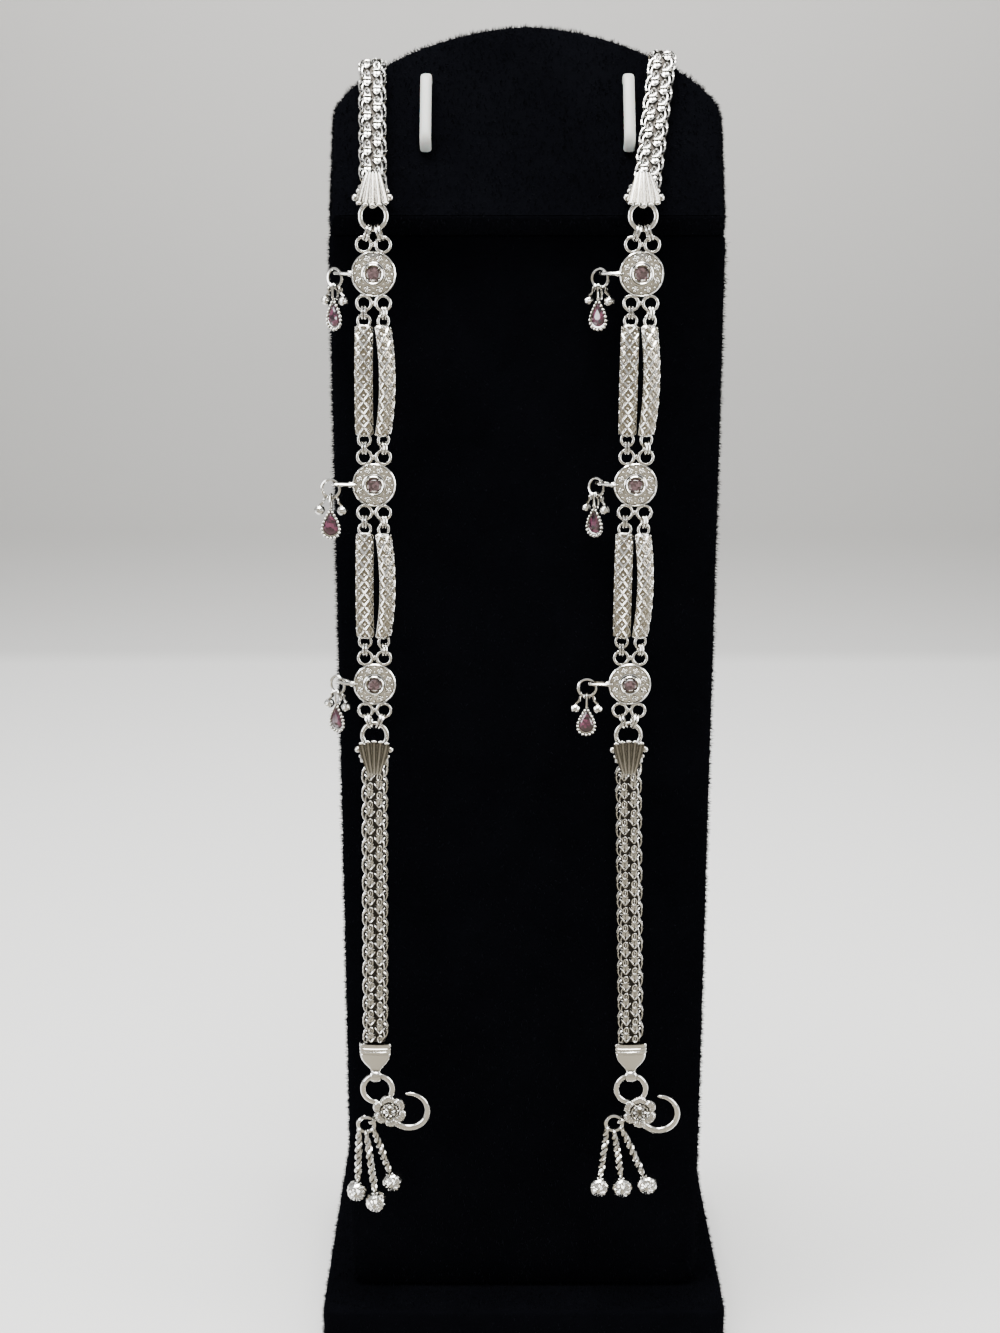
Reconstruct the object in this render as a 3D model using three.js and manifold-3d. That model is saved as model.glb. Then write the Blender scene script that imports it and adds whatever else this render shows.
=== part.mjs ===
// A pair of silver payal anklets hanging over a black velvet display stand.
// Millimetres, +Z up, front towards -Y, origin at the centre of the base plate's underside.
import * as THREE from "three";
import { mergeVertices } from "three/addons/utils/BufferGeometryUtils.js";
import Module from "manifold-3d";

const wasm = await Module();
wasm.setup();

// Stand
const baseWidth = 89;
const baseDepth = 75;
const baseHeight = 16;
const baseCorner = 3;
const boardWidth = 77;
const boardHeight = 234; // the front face, from the plate to the panel
const boardThick = 12;
const boardCorner = 6;
const boardSetBack = 9.7; // from the plate's front edge to the board's face
const panelWidth = 76;
const panelSide = 24.5; // the straight side, along the slope
const panelRise = 15; // the arch above it
const panelShoulder = 3.5;
const panelThick = 9;
const panelLean = THREE.MathUtils.degToRad(30);
const panelOverhang = 5;
const velvetEdge = 0.8;
const seatGap = 0.3;

// White staples on the panel
const stapleSpan = 39.2;
const stapleLength = 14.6;
const stapleAlong = 22.4; // middle of the staple above the panel's lower edge
const stapleOut = 3.6;
const stapleWide = 2.2;
const stapleThick = 1.6;

// Woven chain
const chainWide = 5.2;
const chainThick = 2.6;
const chainPitch = 3.9;
const chainLength = 60;
const chainRelief = 0.3;

// Shell caps
const capLength = 6.8;
const capSleeve = 4.6;
const capWall = 0.45;
const fanWide = 6.4;
const fanNarrow = 2.4;
const fanThick = 1.1;
const fanRelief = 0.28;
const knobSize = 1.5;
const eyeRoom = 0.35; // round a ring's wire in the cap's eye
const ringTuck = 1.5; // how far a ring's wire lies inside the cap's rim
const rimAboveEdge = 0.8; // upper caps' rim above the panel's lower edge

// Rings and links, by the radius of the wire's centre line
const ringRadius = 2.5;
const ringWire = 1;
const hangGap = 1.2; // from the panel's foot to the plane that the anklets hang in
const linkRadius = 1.6;
const linkWire = 0.52;
const linkWide = 1.2; // a jump ring of two turns
const linkPlay = 0.24;
const linkTop = 0.5; // half the spacing of a link pair at its ring
const linkFoot = 1.7; // and at the medallion

// Medallions
const discRadius = 4.3;
const discThick = 1.1;
const discRelief = 0.3;
const bezelRadius = 1.95;
const bezelHeight = 0.95;
const stoneRadius = 1.5;
const stoneRise = 0.3;
const eyeOffset = 5.5; // from the disc's centre to the soldered rings' line
const eyeSpread = 1.87; // half their spacing
const eyeRadius = 1.39;
const eyeWire = 0.62;
const solderDrop = 0.5;
const loopReach = 4.3; // from the disc's rim to the loop's far wire
const loopWide = 2.3;
const loopWire = 0.6;
const loopSink = 0.3; // of the loop's near wire in the rim

// Bars
const barLength = 21.7;
const barWide = 3.6;
const barThick = 1.3;
const barBow = 1.7;
const barRows = 10;
const barRelief = 0.22;
const barEyeRadius = 1.2;
const barEyeWire = 0.6;
const barEyeOut = 0.6; // from the bar's end to the eye's centre
const eyeWrap = 0.8; // radians past the half circle, into the bar
const barLinkRadius = 1.2; // of the jump ring between a bar's eye and a medallion's

// Charms
const charmRadius = 1.8;
const charmWire = 0.6;
const beadRadius = 1.1;
const beadSpread = 2.3;
const beadDrop = 4.3; // from the charm ring's centre to the bead's
const pearLength = 6;
const pearWide = 3.7;
const pearThick = 1.5;
const pearTable = 0.5; // share of the outline
const bailRadius = 0.75;
const bailWire = 0.45;
const bailStretch = 1.7;

// End caps, clasp and tassel
const endCapWide = 6.9;
const endCapThick = 3.5;
const endCapLength = 6.7;
const tongueWide = 2.1;
const tongueThick = 1;
const foldRadius = 1.2;
const foldWire = 0.5;
const claspRingRadius = 3.15;
const claspRingWire = 1.3;
const eyeRingRadius = 2.6;
const eyeRingWire = 1.2;
const flowerRadius = 3.8;
const flowerWaist = 3.05;
const flowerThick = 1.5;
const flowerRight = 1.85; // from the clasp ring's centre
const flowerDown = 5.3;
const hookRadius = 4;
const hookWire = 1.6;
const hookTip = 0.9;
const hookRight = 5.95;
const hookDown = 6;
const hookFrom = THREE.MathUtils.degToRad(195);
const hookTo = THREE.MathUtils.degToRad(452);
const tasselEyeRadius = 0.85;
const tasselEyeWire = 0.5;
const tasselEyeAngle = THREE.MathUtils.degToRad(207); // where it sits round the flower
const tasselRingRadius = 1.75;
const tasselRingWire = 0.85;
const strandWide = 1.9;
const strandNarrow = 1.2;
const strandTurns = 2.5;
const strandSides = 4;
const ballRadius = 2.35;

// How each anklet hangs: x at the top edge and at the upper cap, the two parts' leans as slopes, the turns in degrees
// of its bars and of its charm loops, how the clasp is tilted, and where the tassel's balls end below its ring.
const anklets = [
  {
    name: "left",
    xTop: -30.2,
    xCap: -29.4,
    upperSlope: 0.0146,
    lowerSlope: 0.0146,
    barTurns: [0, 36],
    loopTurns: [38, 6, 36],
    claspTilt: 8,
    balls: [
      { right: -2, down: 16, front: 0 },
      { right: 2.2, down: 17.4, front: 2 },
      { right: 5.6, down: 14.2, front: -1.2 },
    ],
  },
  {
    name: "right",
    xTop: 26.6,
    xCap: 21.9,
    upperSlope: 0.0102,
    lowerSlope: -0.025,
    barTurns: [-6, 26],
    loopTurns: [34, 40, 4],
    claspTilt: 0,
    balls: [
      { right: -3.5, down: 14.9, front: 0.3 },
      { right: 1.6, down: 14.9, front: 0.7 },
      { right: 7, down: 14.6, front: 0.3 },
    ],
  },
];

const sliver = 0.01;
const ringSides = 5;
const ringSteps = 10;
const halfTurn = Math.PI;
const quarterTurn = Math.PI / 2;

const velvet = new THREE.MeshStandardMaterial({ color: 0x070709, roughness: 1, metalness: 0 });
const silver = new THREE.MeshStandardMaterial({ color: 0xeceae4, roughness: 0.22, metalness: 1 });
const plum = new THREE.MeshStandardMaterial({ color: 0x6f3d55, roughness: 0.1, metalness: 0 });
const plastic = new THREE.MeshStandardMaterial({ color: 0xd8dad6, roughness: 0.45, metalness: 0 });

// Joining

function closed(geometry) {
  const bare = geometry.clone();
  bare.deleteAttribute("normal");
  bare.deleteAttribute("uv");
  return mergeVertices(bare, 1e-4);
}

function solid(geometry) {
  const g = closed(geometry);
  return new wasm.Manifold(
    new wasm.Mesh({
      numProp: 3,
      vertProperties: new Float32Array(g.getAttribute("position").array),
      triVerts: new Uint32Array(g.index.array),
    }),
  );
}

function geometryOf(made) {
  const mesh = made.getMesh();
  const g = new THREE.BufferGeometry();
  g.setAttribute("position", new THREE.BufferAttribute(mesh.vertProperties, 3));
  g.setIndex(new THREE.BufferAttribute(mesh.triVerts, 1));
  return g;
}

// Slivers that a join leaves are closed up.
function fuse(...pieces) {
  return geometryOf(pieces.map(solid).reduce((all, one) => all.add(one)).asOriginal().simplify(sliver));
}

// Forms

function reshape(geometry, move) {
  const place = geometry.getAttribute("position");
  const v = new THREE.Vector3();
  for (let i = 0; i < place.count; i++) {
    v.fromBufferAttribute(place, i);
    move(v);
    place.setXYZ(i, v.x, v.y, v.z);
  }
  return geometry;
}

// A bar of so many sides and rows. at(side, row) gives each corner; side 0 is in front, the next is to its right.
function sweep(sides, rows, at) {
  const place = (side, row) => at(((side % sides) + sides) % sides, row);
  return reshape(new THREE.CylinderGeometry(1, 1, 1, sides, rows), (v) => {
    const row = Math.round((v.y + 0.5) * rows);
    if (Math.hypot(v.x, v.z) < 0.5) {
      v.set(0, 0, 0);
      for (let side = 0; side < sides; side++) v.add(place(side, row));
      v.divideScalar(sides);
    } else {
      v.copy(place(Math.round((Math.atan2(v.x, v.z) / halfTurn / 2) * sides), row));
    }
  });
}

// A tube along a curve in a plane across +X, its section given by outline(side, row) as right and front.
function tubeAlong(curve, sides, rows, outline) {
  const right = new THREE.Vector3(1, 0, 0);
  return sweep(sides, rows, (side, row) => {
    const along = curve.getTangentAt(row / rows);
    const front = new THREE.Vector3().crossVectors(along, right).normalize().negate();
    const offset = outline(side, row);
    return curve
      .getPointAt(row / rows)
      .addScaledVector(right, offset.right)
      .addScaledVector(front, offset.front);
  });
}

// A ring that faces the front; wide stretches its wire along the ring's own axis.
function ring(radius, wire, wide = wire) {
  const g = new THREE.TorusGeometry(radius, wire / 2, ringSides, ringSteps);
  g.rotateZ(halfTurn / ringSteps);
  g.scale(1, 1, wide / wire);
  return g.rotateX(quarterTurn);
}

// The same ring seen edge on from the front.
function edgeRing(radius, wire, wide = wire) {
  return ring(radius, wire, wide).rotateZ(quarterTurn);
}

// A round form that faces the front, from rows of radius and height.
function turned(rows, sides) {
  const profile = rows.map((row) => new THREE.Vector2(row.radius, row.height));
  return new THREE.LatheGeometry(profile, sides).rotateX(halfTurn);
}

function lerp(from, to, share) {
  return from + (to - from) * share;
}

// Stand

const boardFace = -baseDepth / 2 + boardSetBack;
const panelFoot = new THREE.Vector3(0, boardFace - panelOverhang, baseHeight + boardHeight);
const panelUp = new THREE.Vector3(0, Math.sin(panelLean), Math.cos(panelLean));
const panelOut = new THREE.Vector3(0, -Math.cos(panelLean), Math.sin(panelLean));
const archRadius = ((panelWidth / 2) ** 2 + panelRise ** 2) / (2 * panelRise);

function onPanel(x, along, out) {
  return panelFoot.clone().addScaledVector(panelUp, along).addScaledVector(panelOut, out).setX(x);
}

function panelHeightAt(x) {
  return panelSide + panelRise - archRadius + Math.sqrt(archRadius ** 2 - x ** 2);
}

function roundedRectangle(width, depth, corner) {
  const shape = new THREE.Shape();
  const x = width / 2 - corner;
  const y = depth / 2 - corner;
  shape.absarc(x, y, corner, 0, quarterTurn);
  shape.absarc(-x, y, corner, quarterTurn, halfTurn);
  shape.absarc(-x, -y, corner, halfTurn, halfTurn + quarterTurn);
  shape.absarc(x, -y, corner, halfTurn + quarterTurn, 2 * halfTurn);
  return shape;
}

function baseForm() {
  const shape = roundedRectangle(baseWidth - 2 * velvetEdge, baseDepth - 2 * velvetEdge, baseCorner);
  return new THREE.ExtrudeGeometry(shape, {
    depth: baseHeight - 2 * velvetEdge,
    bevelThickness: velvetEdge,
    bevelSize: velvetEdge,
    bevelSegments: 1,
    curveSegments: 2,
  }).translate(0, 0, velvetEdge);
}

// The board's outline from the front, cut by its profile from the side, which carries the panel's back and foot.
function boardForm() {
  const foot = baseHeight + seatGap;
  const back = boardFace + boardThick;
  const panelBack = (y) => {
    const start = onPanel(0, 0, -panelThick - seatGap);
    return start.z + (y - start.y) / Math.tan(panelLean);
  };
  const footCorner = onPanel(0, -seatGap, -panelThick - seatGap);
  const footAtFace = footCorner.z + (footCorner.y - boardFace) * Math.tan(panelLean);
  const side = new THREE.Shape([
    new THREE.Vector2(boardFace, foot),
    new THREE.Vector2(back, foot),
    new THREE.Vector2(back, panelBack(back)),
    new THREE.Vector2(footCorner.y, footCorner.z),
    new THREE.Vector2(boardFace, footAtFace),
  ]);
  const profile = new THREE.ExtrudeGeometry(side, { depth: boardWidth, bevelEnabled: false });
  profile.translate(0, 0, -boardWidth / 2);
  reshape(profile, (v) => v.set(v.z, v.x, v.y));
  const reach = panelBack(back) + panelThick - foot;
  const front = roundedRectangle(boardWidth - 2 * velvetEdge, 2 * reach, boardCorner);
  const outline = new THREE.ExtrudeGeometry(front, {
    depth: boardThick - 2 * velvetEdge,
    bevelThickness: velvetEdge,
    bevelSize: velvetEdge,
    bevelSegments: 1,
    curveSegments: 3,
  });
  outline.rotateX(quarterTurn);
  outline.translate(0, back - velvetEdge, foot + reach + velvetEdge);
  return geometryOf(solid(profile).intersect(solid(outline)));
}

function panelForm() {
  const shape = new THREE.Shape();
  const half = panelWidth / 2 - velvetEdge;
  const radius = archRadius - velvetEdge;
  const centre = panelSide + panelRise - archRadius;
  const shoulder = Math.asin((half - panelShoulder) / (radius - panelShoulder));
  const shoulderHeight = centre + (radius - panelShoulder) * Math.cos(shoulder);
  shape.moveTo(-half, velvetEdge);
  shape.lineTo(half, velvetEdge);
  shape.absarc(half - panelShoulder, shoulderHeight, panelShoulder, 0, quarterTurn - shoulder);
  shape.absarc(0, centre, radius, quarterTurn - shoulder, quarterTurn + shoulder);
  shape.absarc(panelShoulder - half, shoulderHeight, panelShoulder, quarterTurn + shoulder, halfTurn);
  const g = new THREE.ExtrudeGeometry(shape, {
    depth: panelThick - 2 * velvetEdge,
    bevelThickness: velvetEdge,
    bevelSize: velvetEdge,
    bevelSegments: 1,
    curveSegments: 6,
  });
  g.translate(0, 0, velvetEdge - panelThick);
  return g.rotateX(quarterTurn - panelLean);
}

function stapleForm() {
  const half = stapleLength / 2;
  const front = stapleOut - stapleThick / 2;
  const bend = stapleThick;
  const at = (along, out) => new THREE.Vector3(0, -out, along);
  const path = new THREE.CurvePath();
  path.add(new THREE.LineCurve3(at(-half, seatGap), at(-half, front - bend)));
  path.add(new THREE.QuadraticBezierCurve3(at(-half, front - bend), at(-half, front), at(bend - half, front)));
  path.add(new THREE.LineCurve3(at(bend - half, front), at(half - bend, front)));
  path.add(new THREE.QuadraticBezierCurve3(at(half - bend, front), at(half, front), at(half, front - bend)));
  path.add(new THREE.LineCurve3(at(half, front - bend), at(half, seatGap)));
  return tubeAlong(path, 6, 9, (side) => ({
    right: (stapleWide / 2) * Math.sin((side * halfTurn) / 3),
    front: (stapleThick / 2) * Math.cos((side * halfTurn) / 3),
  }));
}

// Chain: two columns of links side by side, each half a pitch from the next, which the edges and the front follow.
const chainSection = [
  { right: 0, front: 0.5, even: 0, wave: 0 },
  { right: 0.44, front: 0.42, even: 1, wave: 1 },
  { right: 0.44, front: -0.42, even: 1, wave: 1 },
  { right: 0, front: -0.5, even: 0, wave: 0 },
  { right: -0.44, front: -0.42, even: 0, wave: 1 },
  { right: -0.44, front: 0.42, even: 0, wave: 1 },
];

function chainForm(curve) {
  const rows = Math.max(4, Math.round((1.6 * curve.getLength()) / chainPitch));
  return tubeAlong(curve, chainSection.length, rows, (side, row) => {
    const point = chainSection[side];
    const out = (row + point.even) % 2 ? chainRelief : 0;
    return {
      right: chainWide * point.right + Math.sign(point.right) * out,
      front: chainThick * point.front - Math.sign(point.front) * (point.wave ? 0 : chainRelief),
    };
  });
}

// Shell cap, its rim at z = 0 and its chain end at z = -capLength: a ribbed fan on a sleeve, with an eye behind the rim.
function shellCapForm() {
  const ribs = 4;
  const fanRows = 3;
  const sides = 12;
  const sleeveFront = chainThick / 2 + capWall;
  const fan = sweep(sides, fanRows, (side, row) => {
    const share = row / fanRows;
    const half = lerp(fanNarrow, fanWide, share) / 2;
    const step = side > sides / 2 + 1 ? side - sides : side;
    const scallop = row === fanRows && Math.abs(step) <= ribs && step % 2 ? -fanRelief : 0;
    const rise = Math.cos((Math.min(Math.abs(step), ribs) / ribs) * 1.2) * 0.9 * share;
    const height = lerp(-capLength, -0.9, share) + scallop + rise;
    if (Math.abs(step) <= ribs) {
      const out = fanThick + (step % 2 ? 0 : fanRelief) - 0.1 * Math.abs(step);
      return new THREE.Vector3((half * step) / ribs, -sleeveFront - out + fanThick / 2, height);
    }
    return new THREE.Vector3(half * 0.8 * Math.sign(ribs + 2 - step), -sleeveFront + fanThick / 2, height);
  });
  const sleeve = new THREE.BoxGeometry(chainWide + 2 * capWall, chainThick + 2 * capWall, capSleeve);
  sleeve.translate(0, 0, capSleeve / 2 - capLength);
  const knobs = [-1, 1].map((sign) =>
    new THREE.OctahedronGeometry(knobSize / 2).translate(sign * (fanWide / 2 - 0.2), -sleeveFront, -1.6),
  );
  const eye = edgeRing(ringWire / 2 + eyeRoom + linkWire / 2, linkWire).translate(0, 0, -ringTuck);
  return fuse(sleeve, fan, ...knobs, eye);
}

// End cap, its chain end at z = 0: a sleeve that tapers into a tongue folded round a ring's wire.
const foldDown = endCapLength + foldRadius;
const endCapRows = [
  { down: 1, wide: 0.3, thick: 1 },
  { down: 0.9, wide: 0.36, thick: 1.1 },
  { down: 0.55, wide: 0.82, thick: 2.4 },
  { down: 0.34, wide: 0.98, thick: 3.2 },
  { down: 0, wide: 1, thick: 3.5 },
];

function endCapForm() {
  const rows = endCapRows.length - 1;
  const thickest = endCapRows[rows].thick;
  const body = sweep(8, rows, (side, row) => {
    const section = endCapRows[row];
    const wide = Math.max(section.wide * endCapWide, tongueWide) / 2;
    const thick = Math.max((section.thick / thickest) * endCapThick, tongueThick) / 2;
    const angle = ((side + 0.5) / 8) * 2 * halfTurn;
    const corner = (value) => Math.sign(value) * Math.min(1, Math.abs(value) * 1.25);
    const x = wide * corner(Math.sin(angle));
    return new THREE.Vector3(x, -thick * corner(Math.cos(angle)), -endCapLength * section.down);
  });
  const fold = edgeRing(foldRadius, foldWire, tongueWide);
  fold.translate(0, 0, -foldDown);
  return fuse(body, fold);
}

// Medallion, centred on its disc: domed disc with raised rim and florets, bezel and round stone, four soldered rings
// and the side loop that carries the charm, turned back by some degrees.
const discFlorets = 8;

function discForm() {
  const back = -discThick / 2;
  const rim = discThick / 2;
  const field = lerp(bezelRadius, discRadius, 0.45);
  const rows = [
    { radius: 0, height: back },
    { radius: discRadius, height: back * 0.6 },
    { radius: discRadius, height: rim * 0.7 },
    { radius: field, height: rim },
    { radius: bezelRadius - 0.15, height: rim + bezelHeight / 2 },
    { radius: stoneRadius, height: rim + bezelHeight / 2 - stoneRise / 2 },
    { radius: stoneRadius * 0.55, height: rim + bezelHeight / 2 + stoneRise / 2 },
    { radius: 0, height: rim + bezelHeight / 2 + stoneRise / 2 },
  ];
  const sides = 2 * discFlorets;
  return reshape(turned(rows, sides), (v) => {
    const radius = Math.hypot(v.x, v.z);
    const raised = Math.round((Math.atan2(v.x, v.z) / halfTurn) * discFlorets) % 2 === 0;
    if (Math.abs(radius - field) < 0.1 && v.y < 0 && raised) v.y -= discRelief;
  });
}

// Two flat rings soldered side by side, whose edges run into the disc's.
function eyePair(up) {
  const outer = eyeRadius + eyeWire / 2;
  const joint = Math.acos(eyeSpread / (outer + solderDrop / 2));
  const shape = new THREE.Shape();
  shape.absarc(eyeSpread, 0, outer, joint - halfTurn, halfTurn - joint);
  shape.absarc(-eyeSpread, 0, outer, joint, -joint);
  for (const side of [1, -1]) {
    const hole = new THREE.Path();
    hole.absarc(side * eyeSpread, 0, eyeRadius - eyeWire / 2, 0, 2 * halfTurn);
    shape.holes.push(hole);
  }
  const flat = { depth: eyeWire, bevelEnabled: false, curveSegments: ringSteps / 2 };
  const g = new THREE.ExtrudeGeometry(shape, flat).translate(0, 0, -eyeWire / 2).rotateX(quarterTurn);
  return g.translate(0, 0, up * eyeOffset);
}

function medallionForm(turn) {
  const pieces = [discForm(), eyePair(1), eyePair(-1)];
  const radius = (loopWide - loopWire) / 2;
  const loop = new THREE.TorusGeometry(radius, loopWire / 2, 4, ringSteps);
  const stretch = (loopReach + loopSink) / 2 - radius;
  reshape(loop, (v) => (v.x += v.x > 0 ? stretch : -stretch));
  loop.translate(-stretch - radius, 0, 0);
  loop.rotateZ(-THREE.MathUtils.degToRad(turn));
  pieces.push(loop.translate(loopSink - discRadius, 0, 0));
  return fuse(...pieces);
}

// Where a charm ring hangs from a medallion's loop, from the disc's centre.
function charmPlace(turn) {
  const angle = THREE.MathUtils.degToRad(turn);
  const reach = loopReach + loopSink;
  const drop = charmRadius - (charmWire + loopWire) / 2 - linkPlay;
  const x = loopSink - discRadius - reach * Math.cos(angle);
  return new THREE.Vector3(x, reach * Math.sin(angle), -drop);
}

// Bar: bowed, half round, with a diamond lattice and an eye at each end. Centred, bowing to the front.
const barSection = [
  { right: 0, front: 1 },
  { right: 0.55, front: 0.86 },
  { right: 1, front: 0.42 },
  { right: 0.85, front: 0 },
  { right: -0.85, front: 0 },
  { right: -1, front: 0.42 },
  { right: -0.55, front: 0.86 },
];

function barForm(turn) {
  const body = sweep(barSection.length, barRows, (side, row) => {
    const point = barSection[side];
    const share = (2 * row) / barRows - 1;
    const column = Math.round(point.right * 2);
    const raised = point.front && (column + row) % 2 === 0 ? barRelief : 0;
    const out = barBow * (1 - share ** 2) + (barThick - barRelief) * point.front - barThick / 2;
    return new THREE.Vector3((barWide / 2) * point.right, -out - raised, (barLength / 2) * share);
  });
  const eyes = [1, -1].map((up) => {
    const rows = ringSteps / 2;
    const eye = sweep(ringSides, rows, (side, row) => {
      const round = 2 * halfTurn * (side / ringSides);
      const angle = lerp(halfTurn + eyeWrap, -eyeWrap, row / rows);
      const radius = barEyeRadius - (barEyeWire / 2) * Math.cos(round);
      return new THREE.Vector3(radius * Math.cos(angle), (barEyeWire / 2) * Math.sin(round), radius * Math.sin(angle));
    });
    if (up < 0) eye.rotateY(halfTurn);
    return eye.translate(0, 0, up * (barLength / 2 + barEyeOut));
  });
  return fuse(body, ...eyes).rotateZ(THREE.MathUtils.degToRad(turn));
}

// Two jump rings that touch at their shared ring and spread to the medallion's rings. The shared ring is above them.
const linkPairHeight = 2 * linkRadius;

function linkPairForm() {
  const tilt = Math.atan2(linkFoot - linkTop, linkPairHeight);
  const links = [1, -1].map((side) => {
    const link = edgeRing(linkRadius, linkWire, linkWide).rotateY(-side * tilt);
    return link.translate((side * (linkFoot + linkTop)) / 2, 0, 0);
  });
  return fuse(...links);
}

// Charm ring with its two ghungroo beads, each drawn out to a neck on the ring. Centred on the ring.
function charmForm() {
  const beads = [1, -1].map((side) => {
    const neckX = side * charmRadius * 0.55 - side * beadSpread;
    const neckZ = beadDrop - charmRadius * 0.8;
    const bead = new THREE.SphereGeometry(beadRadius, ringSteps, 4).rotateX(quarterTurn);
    reshape(bead, (v) => v.z > 0.9 * beadRadius && v.set(neckX, 0, neckZ));
    return bead.translate(side * beadSpread, 0, -beadDrop);
  });
  return fuse(ring(charmRadius, charmWire), ...beads);
}

// Pear drop: a cut stone in its setting under a long bail. The bail's top wire rests at z = 0.
const pearFullness = 1.45; // twice the greatest value of the outline below

function pearForm() {
  const sides = 12;
  const half = pearThick / 2;
  const rows = [
    { radius: 0, height: -half },
    { radius: 0.85, height: -half },
    { radius: 1, height: half * 0.5 },
    { radius: 0.74, height: half * 0.6 },
    { radius: pearTable, height: half },
    { radius: 0, height: half },
  ];
  const drop = bailRadius * 2 + bailStretch + pearLength / 2 - bailWire / 2 - 0.1;
  const pear = reshape(turned(rows, sides), (v) => {
    const angle = Math.atan2(v.x, v.z);
    const radius = Math.hypot(v.x, v.z);
    const narrow = Math.sin(Math.abs(angle) / 2) ** 1.3;
    v.x = (Math.sin(angle) * narrow * radius * pearWide) / pearFullness;
    v.z = (Math.cos(angle) * radius * pearLength) / 2 - drop;
  });
  const bail = edgeRing(bailRadius, bailWire);
  reshape(bail, (v) => (v.z += v.z > 0 ? 0 : -bailStretch));
  bail.translate(0, 0, -bailRadius);
  return fuse(pear, bail);
}

// Clasp, centred on its ring: a six-petal flower in front, the open hook behind it, and a small eye for the tassel.
const tasselEyeOut = flowerRadius + tasselRingWire / 2 + linkPlay;

function besideFlower(out) {
  const x = flowerRight + out * Math.cos(tasselEyeAngle);
  return new THREE.Vector3(x, 0, out * Math.sin(tasselEyeAngle) - flowerDown);
}

function claspForm() {
  const rows = [
    { radius: 0, height: 0 },
    { radius: flowerRadius, height: flowerThick * 0.2 },
    { radius: flowerRadius * 0.97, height: flowerThick * 0.5 },
    { radius: flowerRadius * 0.7, height: flowerThick * 0.8 },
    { radius: flowerRadius * 0.42, height: flowerThick * 0.6 },
    { radius: flowerRadius * 0.36, height: flowerThick * 1.15 },
    { radius: 0, height: flowerThick },
  ];
  const flower = reshape(turned(rows, 12), (v) => {
    const radius = Math.hypot(v.x, v.z);
    const between = Math.round((Math.atan2(v.x, v.z) / halfTurn) * 6) % 2 !== 0;
    const share = between && radius > flowerRadius / 2 ? flowerWaist / flowerRadius : 1;
    v.x *= share;
    v.z *= share;
  });
  flower.translate(flowerRight, -0.1, -flowerDown);
  const hookRows = 11;
  const hook = sweep(6, hookRows, (side, row) => {
    const angle = lerp(hookTo, hookFrom, row / hookRows);
    const wire = lerp(hookTip, hookWire, Math.min(1, (2.2 * row) / hookRows)) / 2;
    const round = (side / 6) * 2 * halfTurn;
    const radius = hookRadius - wire * Math.sin(round);
    const x = hookRight + radius * Math.cos(angle);
    return new THREE.Vector3(x, -wire * Math.cos(round), radius * Math.sin(angle) - hookDown);
  });
  const eyeAt = besideFlower(tasselEyeOut);
  const eye = edgeRing(tasselEyeRadius, tasselEyeWire).rotateY(quarterTurn - tasselEyeAngle);
  eye.translate(eyeAt.x, eyeAt.y, eyeAt.z);
  return fuse(ring(claspRingRadius, claspRingWire), hook, flower, eye);
}

// Tassel, centred on its ring: three twisted strands, each ending in a ball.
function tasselForm(balls) {
  const pieces = [ring(tasselRingRadius, tasselRingWire)];
  balls.forEach((ball, index) => {
    const angle = ((index - 1) * halfTurn) / 3;
    const from = new THREE.Vector3(Math.sin(angle), 0, -Math.cos(angle)).multiplyScalar(tasselRingRadius);
    const to = new THREE.Vector3(ball.right, -ball.front, -ball.down);
    const rows = 6;
    const strand = sweep(strandSides, rows, (side, row) => {
      const share = row / rows;
      const turn = 2 * halfTurn * (side / strandSides);
      const twist = halfTurn * strandTurns * share;
      const full = lerp(1, 0.5, share ** 2);
      const wide = (strandWide / 2) * Math.sin(turn) * full;
      const narrow = (strandNarrow / 2) * Math.cos(turn) * full;
      const x = wide * Math.cos(twist) + narrow * Math.sin(twist);
      const y = wide * Math.sin(twist) - narrow * Math.cos(twist);
      return new THREE.Vector3().lerpVectors(to, from, share).add(new THREE.Vector3(x, y, 0));
    });
    pieces.push(strand);
    pieces.push(new THREE.SphereGeometry(ballRadius, ringSteps, 5).rotateX(quarterTurn).translate(to.x, to.y, to.z));
  });
  return fuse(...pieces);
}

// Assembly

const part = new THREE.Group();

function mesh(group, name, geometry, material, position = [0, 0, 0], rotation = [0, 0, 0]) {
  const made = new THREE.Mesh(geometry, material);
  made.name = name;
  made.position.set(...position);
  made.rotation.set(...rotation);
  group.add(made);
  return made;
}

mesh(part, "stand_base", baseForm(), velvet);
mesh(part, "stand_board", boardForm(), velvet);
mesh(part, "stand_panel", panelForm(), velvet, panelFoot.toArray());
for (const [name, side] of [["stand_left_hook", -1], ["stand_right_hook", 1]]) {
  const place = onPanel((side * stapleSpan) / 2, stapleAlong, 0);
  mesh(part, name, stapleForm(), plastic, place.toArray(), [-panelLean, 0, 0]);
}

const chainOut = seatGap + chainThick / 2;
const capOut = seatGap + chainThick / 2 + capWall;
const rimAlong = rimAboveEdge / Math.cos(panelLean);

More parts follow.
